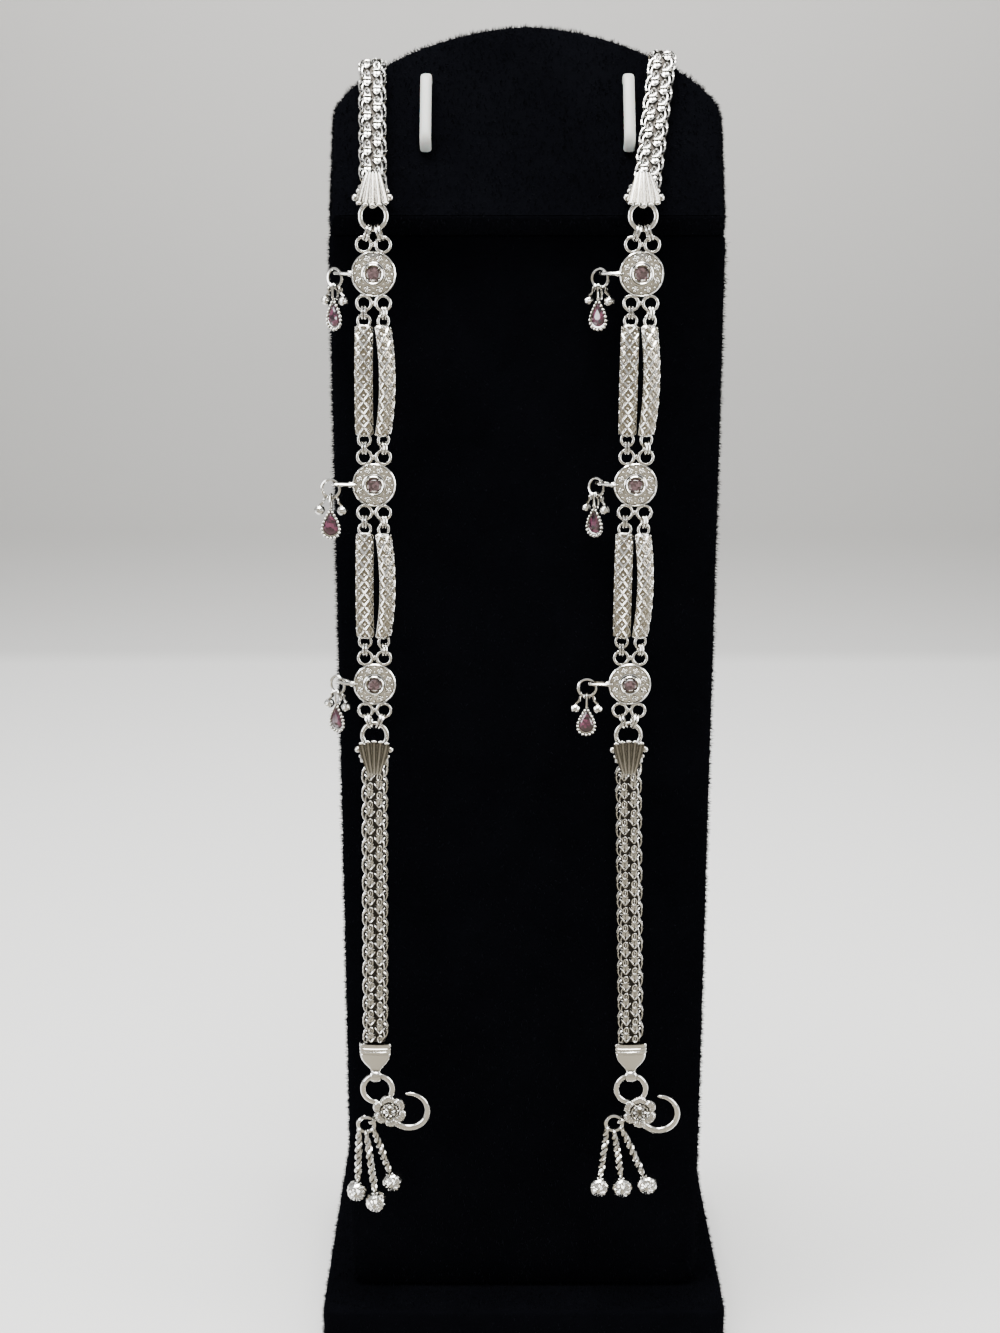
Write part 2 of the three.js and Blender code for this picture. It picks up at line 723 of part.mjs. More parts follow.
// The upper chain's way: up the panel's face, over its edge and straight down behind, one chain length in all.
function overPanel(hang) {
  const edge = panelHeightAt(Math.abs(hang.xTop) - chainWide / 2) + chainOut;
  const start = rimAlong + capLength + seatGap;
  const bend = 3;
  const onFace = (along) => onPanel(lerp(hang.xCap, hang.xTop, along / edge), along, chainOut);
  const corner = onFace(edge);
  const backCorner = onPanel(hang.xTop, edge, -panelThick - chainOut);
  const across = backCorner.clone().sub(corner).normalize();
  const down = new THREE.Vector3(0, 0, -1);
  const behind = chainLength - (edge - start) - (panelThick + 2 * chainOut);
  const turns = [
    onFace(edge - bend),
    corner.clone().addScaledVector(across, bend),
    backCorner.clone().addScaledVector(across, -bend),
    backCorner.clone().addScaledVector(down, bend),
  ];
  const end = backCorner.clone().addScaledVector(down, behind);
  const path = new THREE.CurvePath();
  path.add(new THREE.LineCurve3(onFace(start), turns[0]));
  path.add(new THREE.QuadraticBezierCurve3(turns[0], corner, turns[1]));
  path.add(new THREE.LineCurve3(turns[1], turns[2]));
  path.add(new THREE.QuadraticBezierCurve3(turns[2], backCorner, turns[3]));
  path.add(new THREE.LineCurve3(turns[3], end));
  return { path, end };
}

// The hanging stretch, worked out downwards from the upper ring's bottom wire: each wire rests in the one above.
function heights() {
  const z = {};
  z.upperLinks = (ringWire + linkWire) / 2 + linkPlay - linkRadius;
  const eyeAbove = z.upperLinks - linkRadius + (linkWire + eyeWire) / 2 + linkPlay;
  z.medallions = [eyeAbove - eyeRadius - eyeOffset];
  z.bars = [];
  const eyeToLink = (linkWire + eyeWire) / 2 + linkPlay - barLinkRadius;
  const linkToEye = barLinkRadius - (barEyeWire + linkWire) / 2 - linkPlay;
  const linkToBar = linkToEye + barEyeRadius + barEyeOut + barLength / 2;
  for (let i = 0; i < 2; i++) {
    const link = z.medallions[i] - eyeOffset - eyeRadius + eyeToLink;
    z.bars.push(link - linkToBar);
    z.medallions.push(link - 2 * linkToBar + eyeToLink - eyeRadius - eyeOffset);
  }
  z.lowerLinks = z.medallions[2] - eyeOffset - eyeRadius + (eyeWire + linkWire) / 2 + linkPlay - linkRadius;
  z.lowerRing = z.lowerLinks - linkRadius + (ringWire + linkWire) / 2 + linkPlay - ringRadius;
  return z;
}

for (const hang of anklets) {
  const named = (piece) => hang.name + "_" + piece;
  const z = heights();

  const over = overPanel(hang);
  mesh(part, named("upper_chain"), chainForm(over.path), silver);
  const rear = new THREE.Group();
  rear.position.copy(over.end);
  part.add(rear);
  mesh(rear, named("rear_end_cap"), endCapForm(), silver, [0, 0, -seatGap]);
  const rearRing = ring(eyeRingRadius, eyeRingWire);
  mesh(rear, named("rear_eye_ring"), rearRing, silver, [0, 0, -seatGap - foldDown - eyeRingRadius]);

  const rim = onPanel(hang.xCap, rimAlong, capOut);
  mesh(part, named("upper_shell_cap"), shellCapForm(), silver, rim.toArray(), [-panelLean, halfTurn, 0]);
  const eye = rim.clone().addScaledVector(panelUp, ringTuck);
  const hangY = panelFoot.y - hangGap;
  const ringLean = Math.asin((eye.y - hangY) / (2 * ringRadius));
  const ringDrop = ringRadius * Math.cos(ringLean);
  const ringPlace = [hang.xCap, (eye.y + hangY) / 2, eye.z - ringDrop];
  mesh(part, named("upper_shell_ring"), ring(ringRadius, ringWire), silver, ringPlace, [-ringLean, 0, 0]);

  const upper = new THREE.Group();
  upper.position.set(hang.xCap, hangY, eye.z - 2 * ringDrop);
  upper.rotation.y = Math.asin(hang.upperSlope);
  part.add(upper);
  mesh(upper, named("upper_link_pair"), linkPairForm(), silver, [0, 0, z.upperLinks]);
  z.medallions.forEach((height, index) => {
    const number = index + 1;
    const turn = hang.loopTurns[index];
    mesh(upper, named("medallion_" + number), medallionForm(turn), silver, [0, 0, height]);
    const charm = new THREE.Group();
    charm.position.copy(charmPlace(turn)).add(new THREE.Vector3(0, 0, height));
    charm.rotation.z = -THREE.MathUtils.degToRad(turn);
    upper.add(charm);
    mesh(charm, named("charm_" + number), charmForm(), silver);
    const bailTop = (charmWire + bailWire) / 2 + linkPlay - charmRadius;
    mesh(charm, named("pear_drop_" + number), pearForm(), plum, [0, 0, bailTop]);
  });
  z.bars.forEach((height, index) => {
    ["a", "b"].forEach((letter, side) => {
      const name = named("bar_" + (index + 1) + "_" + letter);
      mesh(upper, name, barForm(hang.barTurns[side]), silver, [(2 * side - 1) * eyeSpread, 0, height]);
    });
  });
  mesh(upper, named("lower_link_pair"), linkPairForm(), silver, [0, 0, z.lowerLinks], [0, halfTurn, 0]);

  const lower = new THREE.Group();
  lower.position.set(0, 0, z.lowerRing);
  lower.rotation.y = Math.asin(hang.lowerSlope) - Math.asin(hang.upperSlope);
  upper.add(lower);
  mesh(lower, named("lower_shell_ring"), ring(ringRadius, ringWire), silver);
  const lowerRim = ringTuck - ringRadius;
  mesh(lower, named("lower_shell_cap"), shellCapForm(), silver, [0, 0, lowerRim]);
  const chainTop = lowerRim - capLength - seatGap;
  const chainEnd = chainTop - chainLength;
  const straight = new THREE.LineCurve3(new THREE.Vector3(0, 0, chainEnd), new THREE.Vector3(0, 0, chainTop));
  mesh(lower, named("lower_chain"), chainForm(straight), silver);
  mesh(lower, named("front_end_cap"), endCapForm(), silver, [0, 0, chainEnd - seatGap]);

  const clasp = new THREE.Group();
  clasp.position.set(0, 0, chainEnd - seatGap - foldDown);
  clasp.rotation.y = -THREE.MathUtils.degToRad(hang.claspTilt);
  lower.add(clasp);
  mesh(clasp, named("clasp"), claspForm(), silver, [0, 0, -claspRingRadius]);
  const tassel = new THREE.Group();
  tassel.position.copy(besideFlower(tasselEyeOut + tasselRingRadius)).add(new THREE.Vector3(0, 0, -claspRingRadius));
  tassel.rotation.y = -clasp.rotation.y;
  clasp.add(tassel);
  mesh(tassel, named("tassel"), tasselForm(hang.balls), silver);
}

export default part;
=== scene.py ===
# A pair of silver payal anklets on their black velvet stand. Sizes are in millimetres until newObject.
import bmesh
import bpy
import math
import random
from mathutils import Matrix, Vector, noise


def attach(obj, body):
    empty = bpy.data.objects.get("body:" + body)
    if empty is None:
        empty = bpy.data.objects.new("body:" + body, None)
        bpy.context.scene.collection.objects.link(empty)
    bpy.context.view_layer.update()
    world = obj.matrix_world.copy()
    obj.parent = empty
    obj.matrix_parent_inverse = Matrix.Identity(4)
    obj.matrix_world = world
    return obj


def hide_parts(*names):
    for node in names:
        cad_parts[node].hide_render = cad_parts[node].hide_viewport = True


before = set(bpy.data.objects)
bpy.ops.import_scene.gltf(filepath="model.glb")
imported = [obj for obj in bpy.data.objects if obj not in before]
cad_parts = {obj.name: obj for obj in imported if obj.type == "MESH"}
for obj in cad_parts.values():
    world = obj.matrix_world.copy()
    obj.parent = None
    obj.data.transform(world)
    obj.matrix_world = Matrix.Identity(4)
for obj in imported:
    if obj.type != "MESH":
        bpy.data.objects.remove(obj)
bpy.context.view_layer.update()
print("frame loaded")

mm = 0.001
turn = 2 * math.pi
still = Matrix.Identity(4)


def slide(x, y, z):
    return Matrix.Translation((x, y, z))


def rotated(angle, axis):
    return Matrix.Rotation(angle, 4, axis)


# Camera and studio

camera = {"at": (-5.3, -386.4, 253.4), "pitch": 75.5, "lens": 48.6, "sensor": 36, "nearest": 0.01}
studio = {
    "floorTone": (0.78, 0.78, 0.77), "wallTone": (0.325, 0.32, 0.31), "wallLitTone": (0.42, 0.41, 0.395),
    "wallFrom": (0.60, 0.69), "wallLightFade": (0.16, 0.46),  # in metres: floor turns to wall, and painted light makes the wall paler higher up
    "wallBack": 690, "bend": 60, "sweepSide": 1200, "sweepFront": 900, "sweepHigh": 900,
    "cardTone": (0.21, 0.19, 0.15), "cardFrom": -45, "cardTo": -460, "cardWide": 900, "cardHigh": 430,
    "roomTone": (1.0, 1.0, 1.0), "roomLow": (0.62, 0.61, 0.59), "roomPower": 0.6,
    "roomFrom": 0.50, "roomTo": 0.78, "roomBack": 0.3,
}
lamps = [  # name, place, aims at, size, power in watts, tone
    ("topLamp", (-60, -150, 700), (0, -10, 120), (420, 240), 9.0, (1, 0.99, 0.97)),
    ("leftLamp", (-520, -260, 330), (0, -10, 150), (240, 420), 3.2, (0.95, 0.97, 1)),
    ("rightLamp", (520, -200, 300), (0, -10, 150), (240, 420), 3.2, (1, 0.99, 0.97)),
    ("wallLamp", (0, 250, 620), (0, 520, 150), (600, 200), 4.5, (1, 1, 1)),
]


def makeCamera():
    data = bpy.data.cameras.new("camera")
    data.lens, data.sensor_width, data.clip_start = camera["lens"], camera["sensor"], camera["nearest"]
    viewer = bpy.data.objects.new("camera", data)
    viewer.location = Vector(camera["at"]) * mm
    viewer.rotation_euler = (math.radians(camera["pitch"]), 0, 0)
    bpy.context.scene.collection.objects.link(viewer)
    bpy.context.scene.camera = viewer


def addLamp(name, place, aim, size, power, tone):
    data = bpy.data.lights.new(name, "AREA")
    data.shape = "RECTANGLE"
    data.size, data.size_y = size[0] * mm, size[1] * mm
    data.energy = power
    data.color = tone
    lamp = bpy.data.objects.new(name, data)
    lamp.location = Vector(place) * mm
    lamp.rotation_euler = (Vector(aim) - Vector(place)).to_track_quat("-Z", "Y").to_euler()
    bpy.context.scene.collection.objects.link(lamp)


def makeRoom():
    # light from all round: brightest above and behind the stand, dimmer low in front of it
    room = bpy.data.worlds.new("room")
    bpy.context.scene.world = room
    room.use_nodes = True
    nodes, links = room.node_tree.nodes, room.node_tree.links
    place = nodes.new("ShaderNodeTexCoord")
    split = nodes.new("ShaderNodeSeparateXYZ")
    ramp = nodes.new("ShaderNodeValToRGB")
    low, high = ramp.color_ramp.elements
    low.position, high.position = studio["roomFrom"], studio["roomTo"]
    low.color, high.color = (*studio["roomLow"], 1), (*studio["roomTone"], 1)
    lift = nodes.new("ShaderNodeMath")
    lift.operation = "MULTIPLY_ADD"
    lift.inputs[1].default_value = studio["roomBack"]
    shift = nodes.new("ShaderNodeMapRange")  # height -1..1 to 0..1
    shift.inputs["From Min"].default_value = -1
    links.new(place.outputs["Generated"], split.inputs[0])
    links.new(split.outputs["Y"], lift.inputs[0])
    links.new(split.outputs["Z"], lift.inputs[2])
    links.new(lift.outputs[0], shift.inputs["Value"])
    links.new(shift.outputs["Result"], ramp.inputs["Fac"])
    links.new(ramp.outputs["Color"], nodes["Background"].inputs["Color"])
    nodes["Background"].inputs["Strength"].default_value = studio["roomPower"]


makeCamera()
for lamp in lamps:
    addLamp(*lamp)
makeRoom()
print("camera and lamps placed")


# Finishes

def newFinish(name, tone, metal=0.0, rough=0.5, sockets=None):
    material = bpy.data.materials.new(name)
    material.use_nodes = True
    shader = material.node_tree.nodes["Principled BSDF"]
    values = {"Base Color": (*tone, 1), "Metallic": metal, "Roughness": rough, **(sockets or {})}
    for socket, value in values.items():
        shader.inputs[socket].default_value = value
    return material, material.node_tree.nodes, material.node_tree.links, shader


def objectPlace(nodes):
    return nodes.new("ShaderNodeTexCoord").outputs["Object"]


def addNoise(nodes, links, scale, detail=3):
    cloud = nodes.new("ShaderNodeTexNoise")
    cloud.inputs["Scale"].default_value = scale
    cloud.inputs["Detail"].default_value = detail
    cloud.inputs["Roughness"].default_value = 0.6
    links.new(objectPlace(nodes), cloud.inputs["Vector"])
    return cloud.outputs["Fac"]


def addRange(nodes, links, value, low, high, start=0.3, end=0.7):
    span = nodes.new("ShaderNodeMapRange")
    span.inputs["From Min"].default_value, span.inputs["From Max"].default_value = start, end
    span.inputs["To Min"].default_value, span.inputs["To Max"].default_value = low, high
    links.new(value, span.inputs["Value"])
    return span.outputs["Result"]


def addBump(nodes, links, shader, height, strength, distance):
    bump = nodes.new("ShaderNodeBump")
    bump.inputs["Strength"].default_value = strength
    bump.inputs["Distance"].default_value = distance
    links.new(height, bump.inputs["Height"])
    links.new(bump.outputs["Normal"], shader.inputs["Normal"])


def addBlend(nodes, links, share, low, high):
    ramp = nodes.new("ShaderNodeValToRGB")
    ramp.color_ramp.elements[0].color = (*low, 1)
    ramp.color_ramp.elements[1].color = (*high, 1)
    links.new(share, ramp.inputs["Fac"])
    return ramp


silverLook = {
    # deep is the painted shade colour that recesses and the sunk pattern darken towards
    "bright": (0.88, 0.87, 0.84), "plain": 0.2, "deep": (0.10, 0.088, 0.062),
    "reach": 0.0011,  # how wide a recess still gets painted shade, in metres
    "rough": (0.08, 0.17), "shadeFrom": 0.30, "shadeTo": 0.92, "sunkShadeTone": 1.6,
    "wear": 420, "grain": 1500, "grainHigh": 0.00004,  # scales of the dull patches and of the fine grain
}


def silverFinish(name, deep, reach, rough, bump):
    material, nodes, links, shader = newFinish(name, silverLook["bright"], 1.0, silverLook["plain"])
    hollow = nodes.new("ShaderNodeAmbientOcclusion")  # painted shade: the recesses darken by ambient occlusion
    hollow.samples = 4
    hollow.inputs["Distance"].default_value = reach
    recessShade = addBlend(nodes, links, hollow.outputs["AO"], deep, silverLook["bright"])
    recessShade.color_ramp.elements[0].position = silverLook["shadeFrom"]
    recessShade.color_ramp.elements[1].position = silverLook["shadeTo"]
    sunkShade = nodes.new("ShaderNodeAttribute")  # how deep a point lies in the pattern, which sets its painted shade
    sunkShade.attribute_name = "sunk"
    tones = nodes.new("ShaderNodeMix")
    tones.data_type = "RGBA"
    # painted shade: the sunk pattern's low places blend towards a dark tone
    tones.inputs["B"].default_value = (*[silverLook["sunkShadeTone"] * c for c in deep], 1)
    links.new(sunkShade.outputs["Fac"], tones.inputs["Factor"])
    links.new(recessShade.outputs["Color"], tones.inputs["A"])
    links.new(tones.outputs["Result"], shader.inputs["Base Color"])
    wear = addRange(nodes, links, addNoise(nodes, links, silverLook["wear"]), rough[0], rough[1])
    links.new(wear, shader.inputs["Roughness"])
    grain = addNoise(nodes, links, silverLook["grain"], 4)
    addBump(nodes, links, shader, grain, bump, silverLook["grainHigh"])
    return material


# each silver finish paints shade into its recesses and into its sunk pattern
silver = silverFinish("silver", silverLook["deep"], silverLook["reach"], silverLook["rough"], 0.12)
weaveSilver = silverFinish("woven silver", silverLook["deep"], 0.0006, (0.12, 0.22), 0.08)
castSilver = silverFinish("cast silver", (0.12, 0.095, 0.05), 0.0007, (0.10, 0.20), 0.12)
# painted shade: a dark core behind the weave so its gaps look shaded
weaveShadeCore = newFinish("dark core painting shade inside the weave", (0.05, 0.045, 0.04), 1.0, 0.5)[0]

velvetLook = {
    "rough": 0.95, "sheenRough": 0.45, "sheenTint": (0.5, 0.5, 0.55, 1),
    "nap": 60, "napDark": 0.55, "napLight": 1.5, "grain": 3200, "grainBump": 0.6, "grainHigh": 0.0003,
}


def velvetFinish(name, tone, sheen):
    material, nodes, links, shader = newFinish(name, tone, 0, velvetLook["rough"], {
        "Specular IOR Level": 0.0, "Sheen Weight": sheen, "Sheen Roughness": velvetLook["sheenRough"],
        "Sheen Tint": velvetLook["sheenTint"]})
    nap = addNoise(nodes, links, velvetLook["nap"], 4)  # where the pile was brushed the other way
    dark, light = [velvetLook["napDark"] * c for c in tone], [velvetLook["napLight"] * c for c in tone]
    tones = addBlend(nodes, links, nap, dark, light)
    links.new(tones.outputs["Color"], shader.inputs["Base Color"])
    grain = addNoise(nodes, links, velvetLook["grain"], 2)
    addBump(nodes, links, shader, grain, velvetLook["grainBump"], velvetLook["grainHigh"])
    return material


velvet = velvetFinish("black velvet", (0.0014, 0.0015, 0.0021), 0.006)
pile = velvetFinish("velvet pile", (0.0028, 0.003, 0.004), 0.012)


def plasticFinish():
    material, nodes, links, shader = newFinish("white plastic", (0.42, 0.43, 0.41), 0, 0.38, {
        "Subsurface Weight": 0.15, "Subsurface Scale": 0.001})
    addBump(nodes, links, shader, addNoise(nodes, links, 900), 0.15, 0.00005)
    return material


plastic = plasticFinish()


def stoneFinish(name, dark, light, scale):
    material, nodes, links, shader = newFinish(name, dark, 0, 0.06, {
        "IOR": 1.76, "Coat Weight": 1.0, "Coat Roughness": 0.03})
    facets = nodes.new("ShaderNodeTexVoronoi")  # painted glints: colour patches stand in for light flashing inside the cut stone
    facets.inputs["Scale"].default_value = scale
    links.new(objectPlace(nodes), facets.inputs["Vector"])
    split = nodes.new("ShaderNodeSeparateColor")
    links.new(facets.outputs["Color"], split.inputs["Color"])
    tones = addBlend(nodes, links, split.outputs["Red"], dark, light)
    tones.color_ramp.elements.new(0.55).color = (*[0.45 * (a + b) for a, b in zip(dark, light)], 1)
    links.new(tones.outputs["Color"], shader.inputs["Base Color"])
    return material


# the first tone is each stone's colour, the second its painted glint colour
plumStone = stoneFinish("plum stone", (0.008, 0.002, 0.005), (0.13, 0.03, 0.065), 1300)
mauveStone = stoneFinish("mauve stone", (0.025, 0.013, 0.015), (0.13, 0.075, 0.085), 1900)


def backdropFinish():
    material, nodes, links, shader = newFinish("grey backdrop", studio["floorTone"], 0, 0.7)
    split = nodes.new("ShaderNodeSeparateXYZ")
    links.new(objectPlace(nodes), split.inputs[0])
    depth = addRange(nodes, links, split.outputs["Y"], 0, 1, *studio["wallFrom"])
    # painted light: the wall grows paler higher up
    height = addRange(nodes, links, split.outputs["Z"], 0, 1, *studio["wallLightFade"])
    wall = addBlend(nodes, links, height, studio["wallTone"], studio["wallLitTone"])
    tones = nodes.new("ShaderNodeMix")
    tones.data_type = "RGBA"
    tones.inputs["A"].default_value = (*studio["floorTone"], 1)
    links.new(depth, tones.inputs["Factor"])
    links.new(wall.outputs["Color"], tones.inputs["B"])
    links.new(tones.outputs["Result"], shader.inputs["Base Color"])
    return material


backdrop = backdropFinish()
print("finishes made")


# Shapes

def newShape():
    return {"points": [], "faces": []}


def addRows(shape, rows, loop=False, caps=True, round=True):
    start, wide, count = len(shape["points"]), len(rows[0]), len(rows)
    for row in rows:
        shape["points"].extend(row)
    for i in range(count if loop else count - 1):
        for j in range(wide if round else wide - 1):
            a, b = start + i * wide, start + (i + 1) % count * wide
            shape["faces"].append((a + j, a + (j + 1) % wide, b + (j + 1) % wide, b + j))
    if caps and round and not loop:
        shape["faces"].append(tuple(start + j for j in reversed(range(wide))))
        shape["faces"].append(tuple(start + (count - 1) * wide + j for j in range(wide)))


def acrossOf(axis):
    first = axis.orthogonal().normalized()
    return first, axis.cross(first).normalized()


def addRing(shape, centre, axis, radius, wire, steps=28, sides=8, wide=None, stretch=0.0):
    # wide is the wire's width along the axis, and stretch draws the lower half down into an oval
    axis = Vector(axis).normalized()
    first = Vector((0, 0, 1)) if abs(axis.z) < 0.9 else Vector((0, 1, 0))
    first = (first - axis * first.dot(axis)).normalized()
    second = axis.cross(first)
    wide = wire if wide is None else wide
    rows = []
    for i in range(steps):
        angle = turn * i / steps
        out = first * math.cos(angle) + second * math.sin(angle)
        drop = first * (-stretch if math.cos(angle) < 0 else 0)
        rows.append([
            Vector(centre) + drop + out * (radius + wire / 2 * math.cos(turn * j / sides))
            + axis * (wide / 2 * math.sin(turn * j / sides))
            for j in range(sides)
        ])
    addRows(shape, rows, loop=True)


def addWire(shape, path, wire, sides=6, loop=False):
    count = len(path)
    across, rows = None, []
    for i, point in enumerate(path):
        after = path[(i + 1) % count] if loop or i < count - 1 else point
        before = path[i - 1] if loop or i else point
        along = (after - before).normalized()
        across = acrossOf(along)[0] if across is None else (across - along * across.dot(along)).normalized()
        other = along.cross(across)
        half = (wire(i / (count - 1)) if callable(wire) else wire) / 2
        rows.append([
            point + across * half * math.cos(turn * j / sides) + other * half * math.sin(turn * j / sides)
            for j in range(sides)
        ])
    addRows(shape, rows, loop=loop)


def addBall(shape, centre, radius, sides=10, rows=6, squash=(1, 1, 1), shift=False):
    # shift turns every other row by half a facet
    at = Vector(centre)
    levels = []
    for i in range(1, rows):
        polar = math.pi * i / rows
        level = []
        for j in range(sides):
            angle = turn * (j + (0.5 if shift and i % 2 else 0)) / sides
            flat = radius * math.sin(polar)
            point = Vector((flat * math.cos(angle), radius * -math.cos(polar), flat * math.sin(angle)))
            level.append(at + Vector([a * b for a, b in zip(point, squash)]))
        levels.append(level)
    start = len(shape["points"])
    addRows(shape, levels, caps=False)
    pole = len(shape["points"])
    shape["points"] += [at - Vector((0, radius * squash[1], 0)), at + Vector((0, radius * squash[1], 0))]
    last = start + (rows - 2) * sides
    for j in range(sides):
        shape["faces"].append((pole, start + j, start + (j + 1) % sides))
        shape["faces"].append((pole + 1, last + (j + 1) % sides, last + j))


def addTurned(shape, centre, profile, sides, wave=None):
    # a round form facing the front; profile rows are radius and height towards the front
    rows = []
    for radius, height in profile:
        row = []
        for j in range(sides):
            angle = turn * j / sides
            grow, lift = wave(angle, radius, height) if wave else (1, 0)
            reach = max(radius, 0.001) * grow
            x, z = reach * math.sin(angle), reach * math.cos(angle)
            row.append(Vector(centre) + Vector((x, -height - lift, z)))
        rows.append(row)
    addRows(shape, rows)


def addShape(shape, other, place):
    start = len(shape["points"])
    shape["points"] += [place @ p for p in other["points"]]
    shape["faces"] += [tuple(start + i for i in face) for face in other["faces"]]


def squareRound(angle, power):
    # a point of the circle, drawn out towards the corners of its square
    return [math.copysign(abs(c) ** power, c) for c in (math.sin(angle), math.cos(angle))]


def mix(a, b, share):
    return a + (b - a) * share


def newObject(name, shape, place, finish):
    mesh = bpy.data.meshes.new(name)
    mesh.from_pydata([(place @ p) * mm for p in shape["points"]], [], shape["faces"])
    mesh.materials.append(finish)
    thing = bpy.data.objects.new(name, mesh)
    bpy.context.scene.collection.objects.link(thing)
    return thing


def makePiece(name, shape, place, finish, nodes=(), sharp=38):
    piece = newObject(name, shape, place, finish)
    mesh = piece.data
    # the sunk values carry painted shade for the silver finish
    if "sunk" in shape:
        depths = shape["sunk"] + [0.0] * (len(shape["points"]) - len(shape["sunk"]))
        mesh.attributes.new("sunk", "FLOAT", "POINT").data.foreach_set("value", depths)
    work = bmesh.new()
    work.from_mesh(mesh)
    bmesh.ops.recalc_face_normals(work, faces=work.faces)
    work.to_mesh(mesh)
    work.free()
    mesh.polygons.foreach_set("use_smooth", [True] * len(mesh.polygons))
    mesh.set_sharp_from_angle(angle=math.radians(sharp))
    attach(piece, "root")
    for node in nodes:
        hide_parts(node)


# Stand

stand = {
    "baseWide": 89, "baseDeep": 75, "baseHigh": 16, "baseCorner": 3,
    "boardWide": 77, "boardHigh": 234, "boardThick": 12, "boardCorner": 6, "setBack": 9.7,
    "panelWide": 76, "panelSide": 24.5, "panelRise": 15, "panelThick": 9, "panelCorner": 0.8,
    "lean": math.radians(30), "overhang": 5, "edge": 0.9, "gap": 0.3, "slabSharp": 50,
    "proudSide": 1.3, "proudTop": 3.2, "shoulder": 6, "pileRoom": 0.5,  # the cloth over the panel's edge
}
boardFace = -stand["baseDeep"] / 2 + stand["setBack"]
panelFoot = Vector((0, boardFace - stand["overhang"], stand["baseHigh"] + stand["boardHigh"]))
panelUp = Vector((0, math.sin(stand["lean"]), math.cos(stand["lean"])))
panelOut = Vector((0, -math.cos(stand["lean"]), math.sin(stand["lean"])))
archRadius = ((stand["panelWide"] / 2) ** 2 + stand["panelRise"] ** 2) / (2 * stand["panelRise"])


def onPanel(x, along, out):
    return Vector((x, 0, 0)) + panelFoot + panelUp * along + panelOut * out


def panelHeightAt(x):
    return stand["panelSide"] + stand["panelRise"] - archRadius + math.sqrt(archRadius ** 2 - x ** 2)


def roundedOutline(corners, radius, steps=6):
    # corners run anticlockwise; each is rounded by its own radius
    outline = []
    for i, corner in enumerate(corners):
        here, before, after = Vector(corner), Vector(corners[i - 1]), Vector(corners[(i + 1) % len(corners)])
        into, out = (before - here).normalized(), (after - here).normalized()
        size = radius[i] if isinstance(radius, (list, tuple)) else radius
        if size < 0.01:
            outline.append(here)
            continue
        for k in range(steps + 1):
            share = k / steps
            a, b = here + into * size, here + out * size
            outline.append(a * (1 - share) ** 2 + here * 2 * share * (1 - share) + b * share ** 2)
    return outline


def addSlab(shape, outline, thick, edge, at, steps=4):
    # a slab with rounded edges: the outline shrinks towards both faces; at(x, y, depth) places a point
    count = len(outline)
    normals = []
    for i in range(count):
        along = (outline[(i + 1) % count] - outline[i - 1]).normalized()
        normals.append(Vector((along.y, -along.x)))
    angles = [math.pi / 2 * k / steps for k in range(steps + 1)]
    levels = [(edge - edge * math.cos(a), edge - edge * math.sin(a)) for a in angles]
    levels += [(thick - depth, shrink) for depth, shrink in reversed(levels)]
    rows = []
    for depth, shrink in levels:
        rows.append([at(*(p - n * shrink), depth) for p, n in zip(outline, normals)])
    addRows(shape, rows)


def makeBase():
    base = newShape()
    x, y = stand["baseWide"] / 2, stand["baseDeep"] / 2
    outline = roundedOutline([(-x, -y), (x, -y), (x, y), (-x, y)], stand["baseCorner"])
    addSlab(base, outline, stand["baseHigh"], stand["edge"], lambda px, py, d: Vector((px, py, d)))
    makePiece("stand_base_cloth", base, still, velvet, ["stand_base"])


def boardTopAt(y):
    # the board is cut along the panel's back, and square to it below its foot
    back = -stand["panelThick"] - stand["gap"]
    lowest, corner = onPanel(0, 0, back), onPanel(0, -stand["gap"], back)
    if y >= corner.y:
        return lowest.z + (y - lowest.y) / math.tan(stand["lean"])
    return corner.z + (corner.y - y) * math.tan(stand["lean"])


def makeBoard():
    board, steps, high = newShape(), 24, 1000  # high is cut down to the slanting top
    x, foot = stand["boardWide"] / 2, stand["baseHigh"] + stand["gap"]
    corners = [(-x, foot), (x, foot), (x, high), (-x, high)]
    outline = roundedOutline(corners, [stand["boardCorner"]] * 2 + [0, 0])
    rows = []
    for i in range(steps + 1):
        depth = stand["boardThick"] * i / steps
        near = min(depth, stand["boardThick"] - depth)
        shrink = stand["edge"] - math.sqrt(max(0, stand["edge"] ** 2 - max(0, stand["edge"] - near) ** 2))
        row = []
        for p in outline:
            z = min(p.y + (shrink if p.y < high / 2 else 0), boardTopAt(boardFace + depth))
            row.append(Vector((p.x - math.copysign(shrink, p.x), boardFace + depth, z)))
        rows.append(row)
    addRows(board, rows)
    makePiece("stand_board_cloth", board, still, velvet, ["stand_board"], stand["slabSharp"])


def makePanel():
    panel = newShape()
    half, bend, proud = stand["panelWide"] / 2 - stand["pileRoom"], stand["shoulder"], stand["proudSide"]
    arch = []
    for k in range(33):  # the pile swells the cloth along the top edge
        x = (half - bend) * math.cos(math.pi * k / 32)
        arch.append((x, panelHeightAt(abs(x)) + mix(stand["proudTop"], proud, abs(x) / half)))
    low, high = panelHeightAt(half) - 0.6 * bend + proud, panelHeightAt(half) + proud
    shoulder = []
    for s in [k / 7 for k in range(7)]:
        y = low * (1 - s) ** 2 + high * 2 * s * (1 - s) + arch[0][1] * s ** 2
        shoulder.append((half - bend * s ** 2, y))
    corners = [(-half, 0), (half, 0)] + shoulder + arch + [(-a, b) for a, b in reversed(shoulder)]
    outline = roundedOutline(corners, [stand["panelCorner"]] * 2 + [0] * (len(corners) - 2), 3)
    addSlab(panel, outline, stand["panelThick"], stand["edge"], lambda px, py, d: onPanel(px, py, -d))
    makePiece("stand_panel_cloth", panel, still, velvet, ["stand_panel"], stand["slabSharp"])


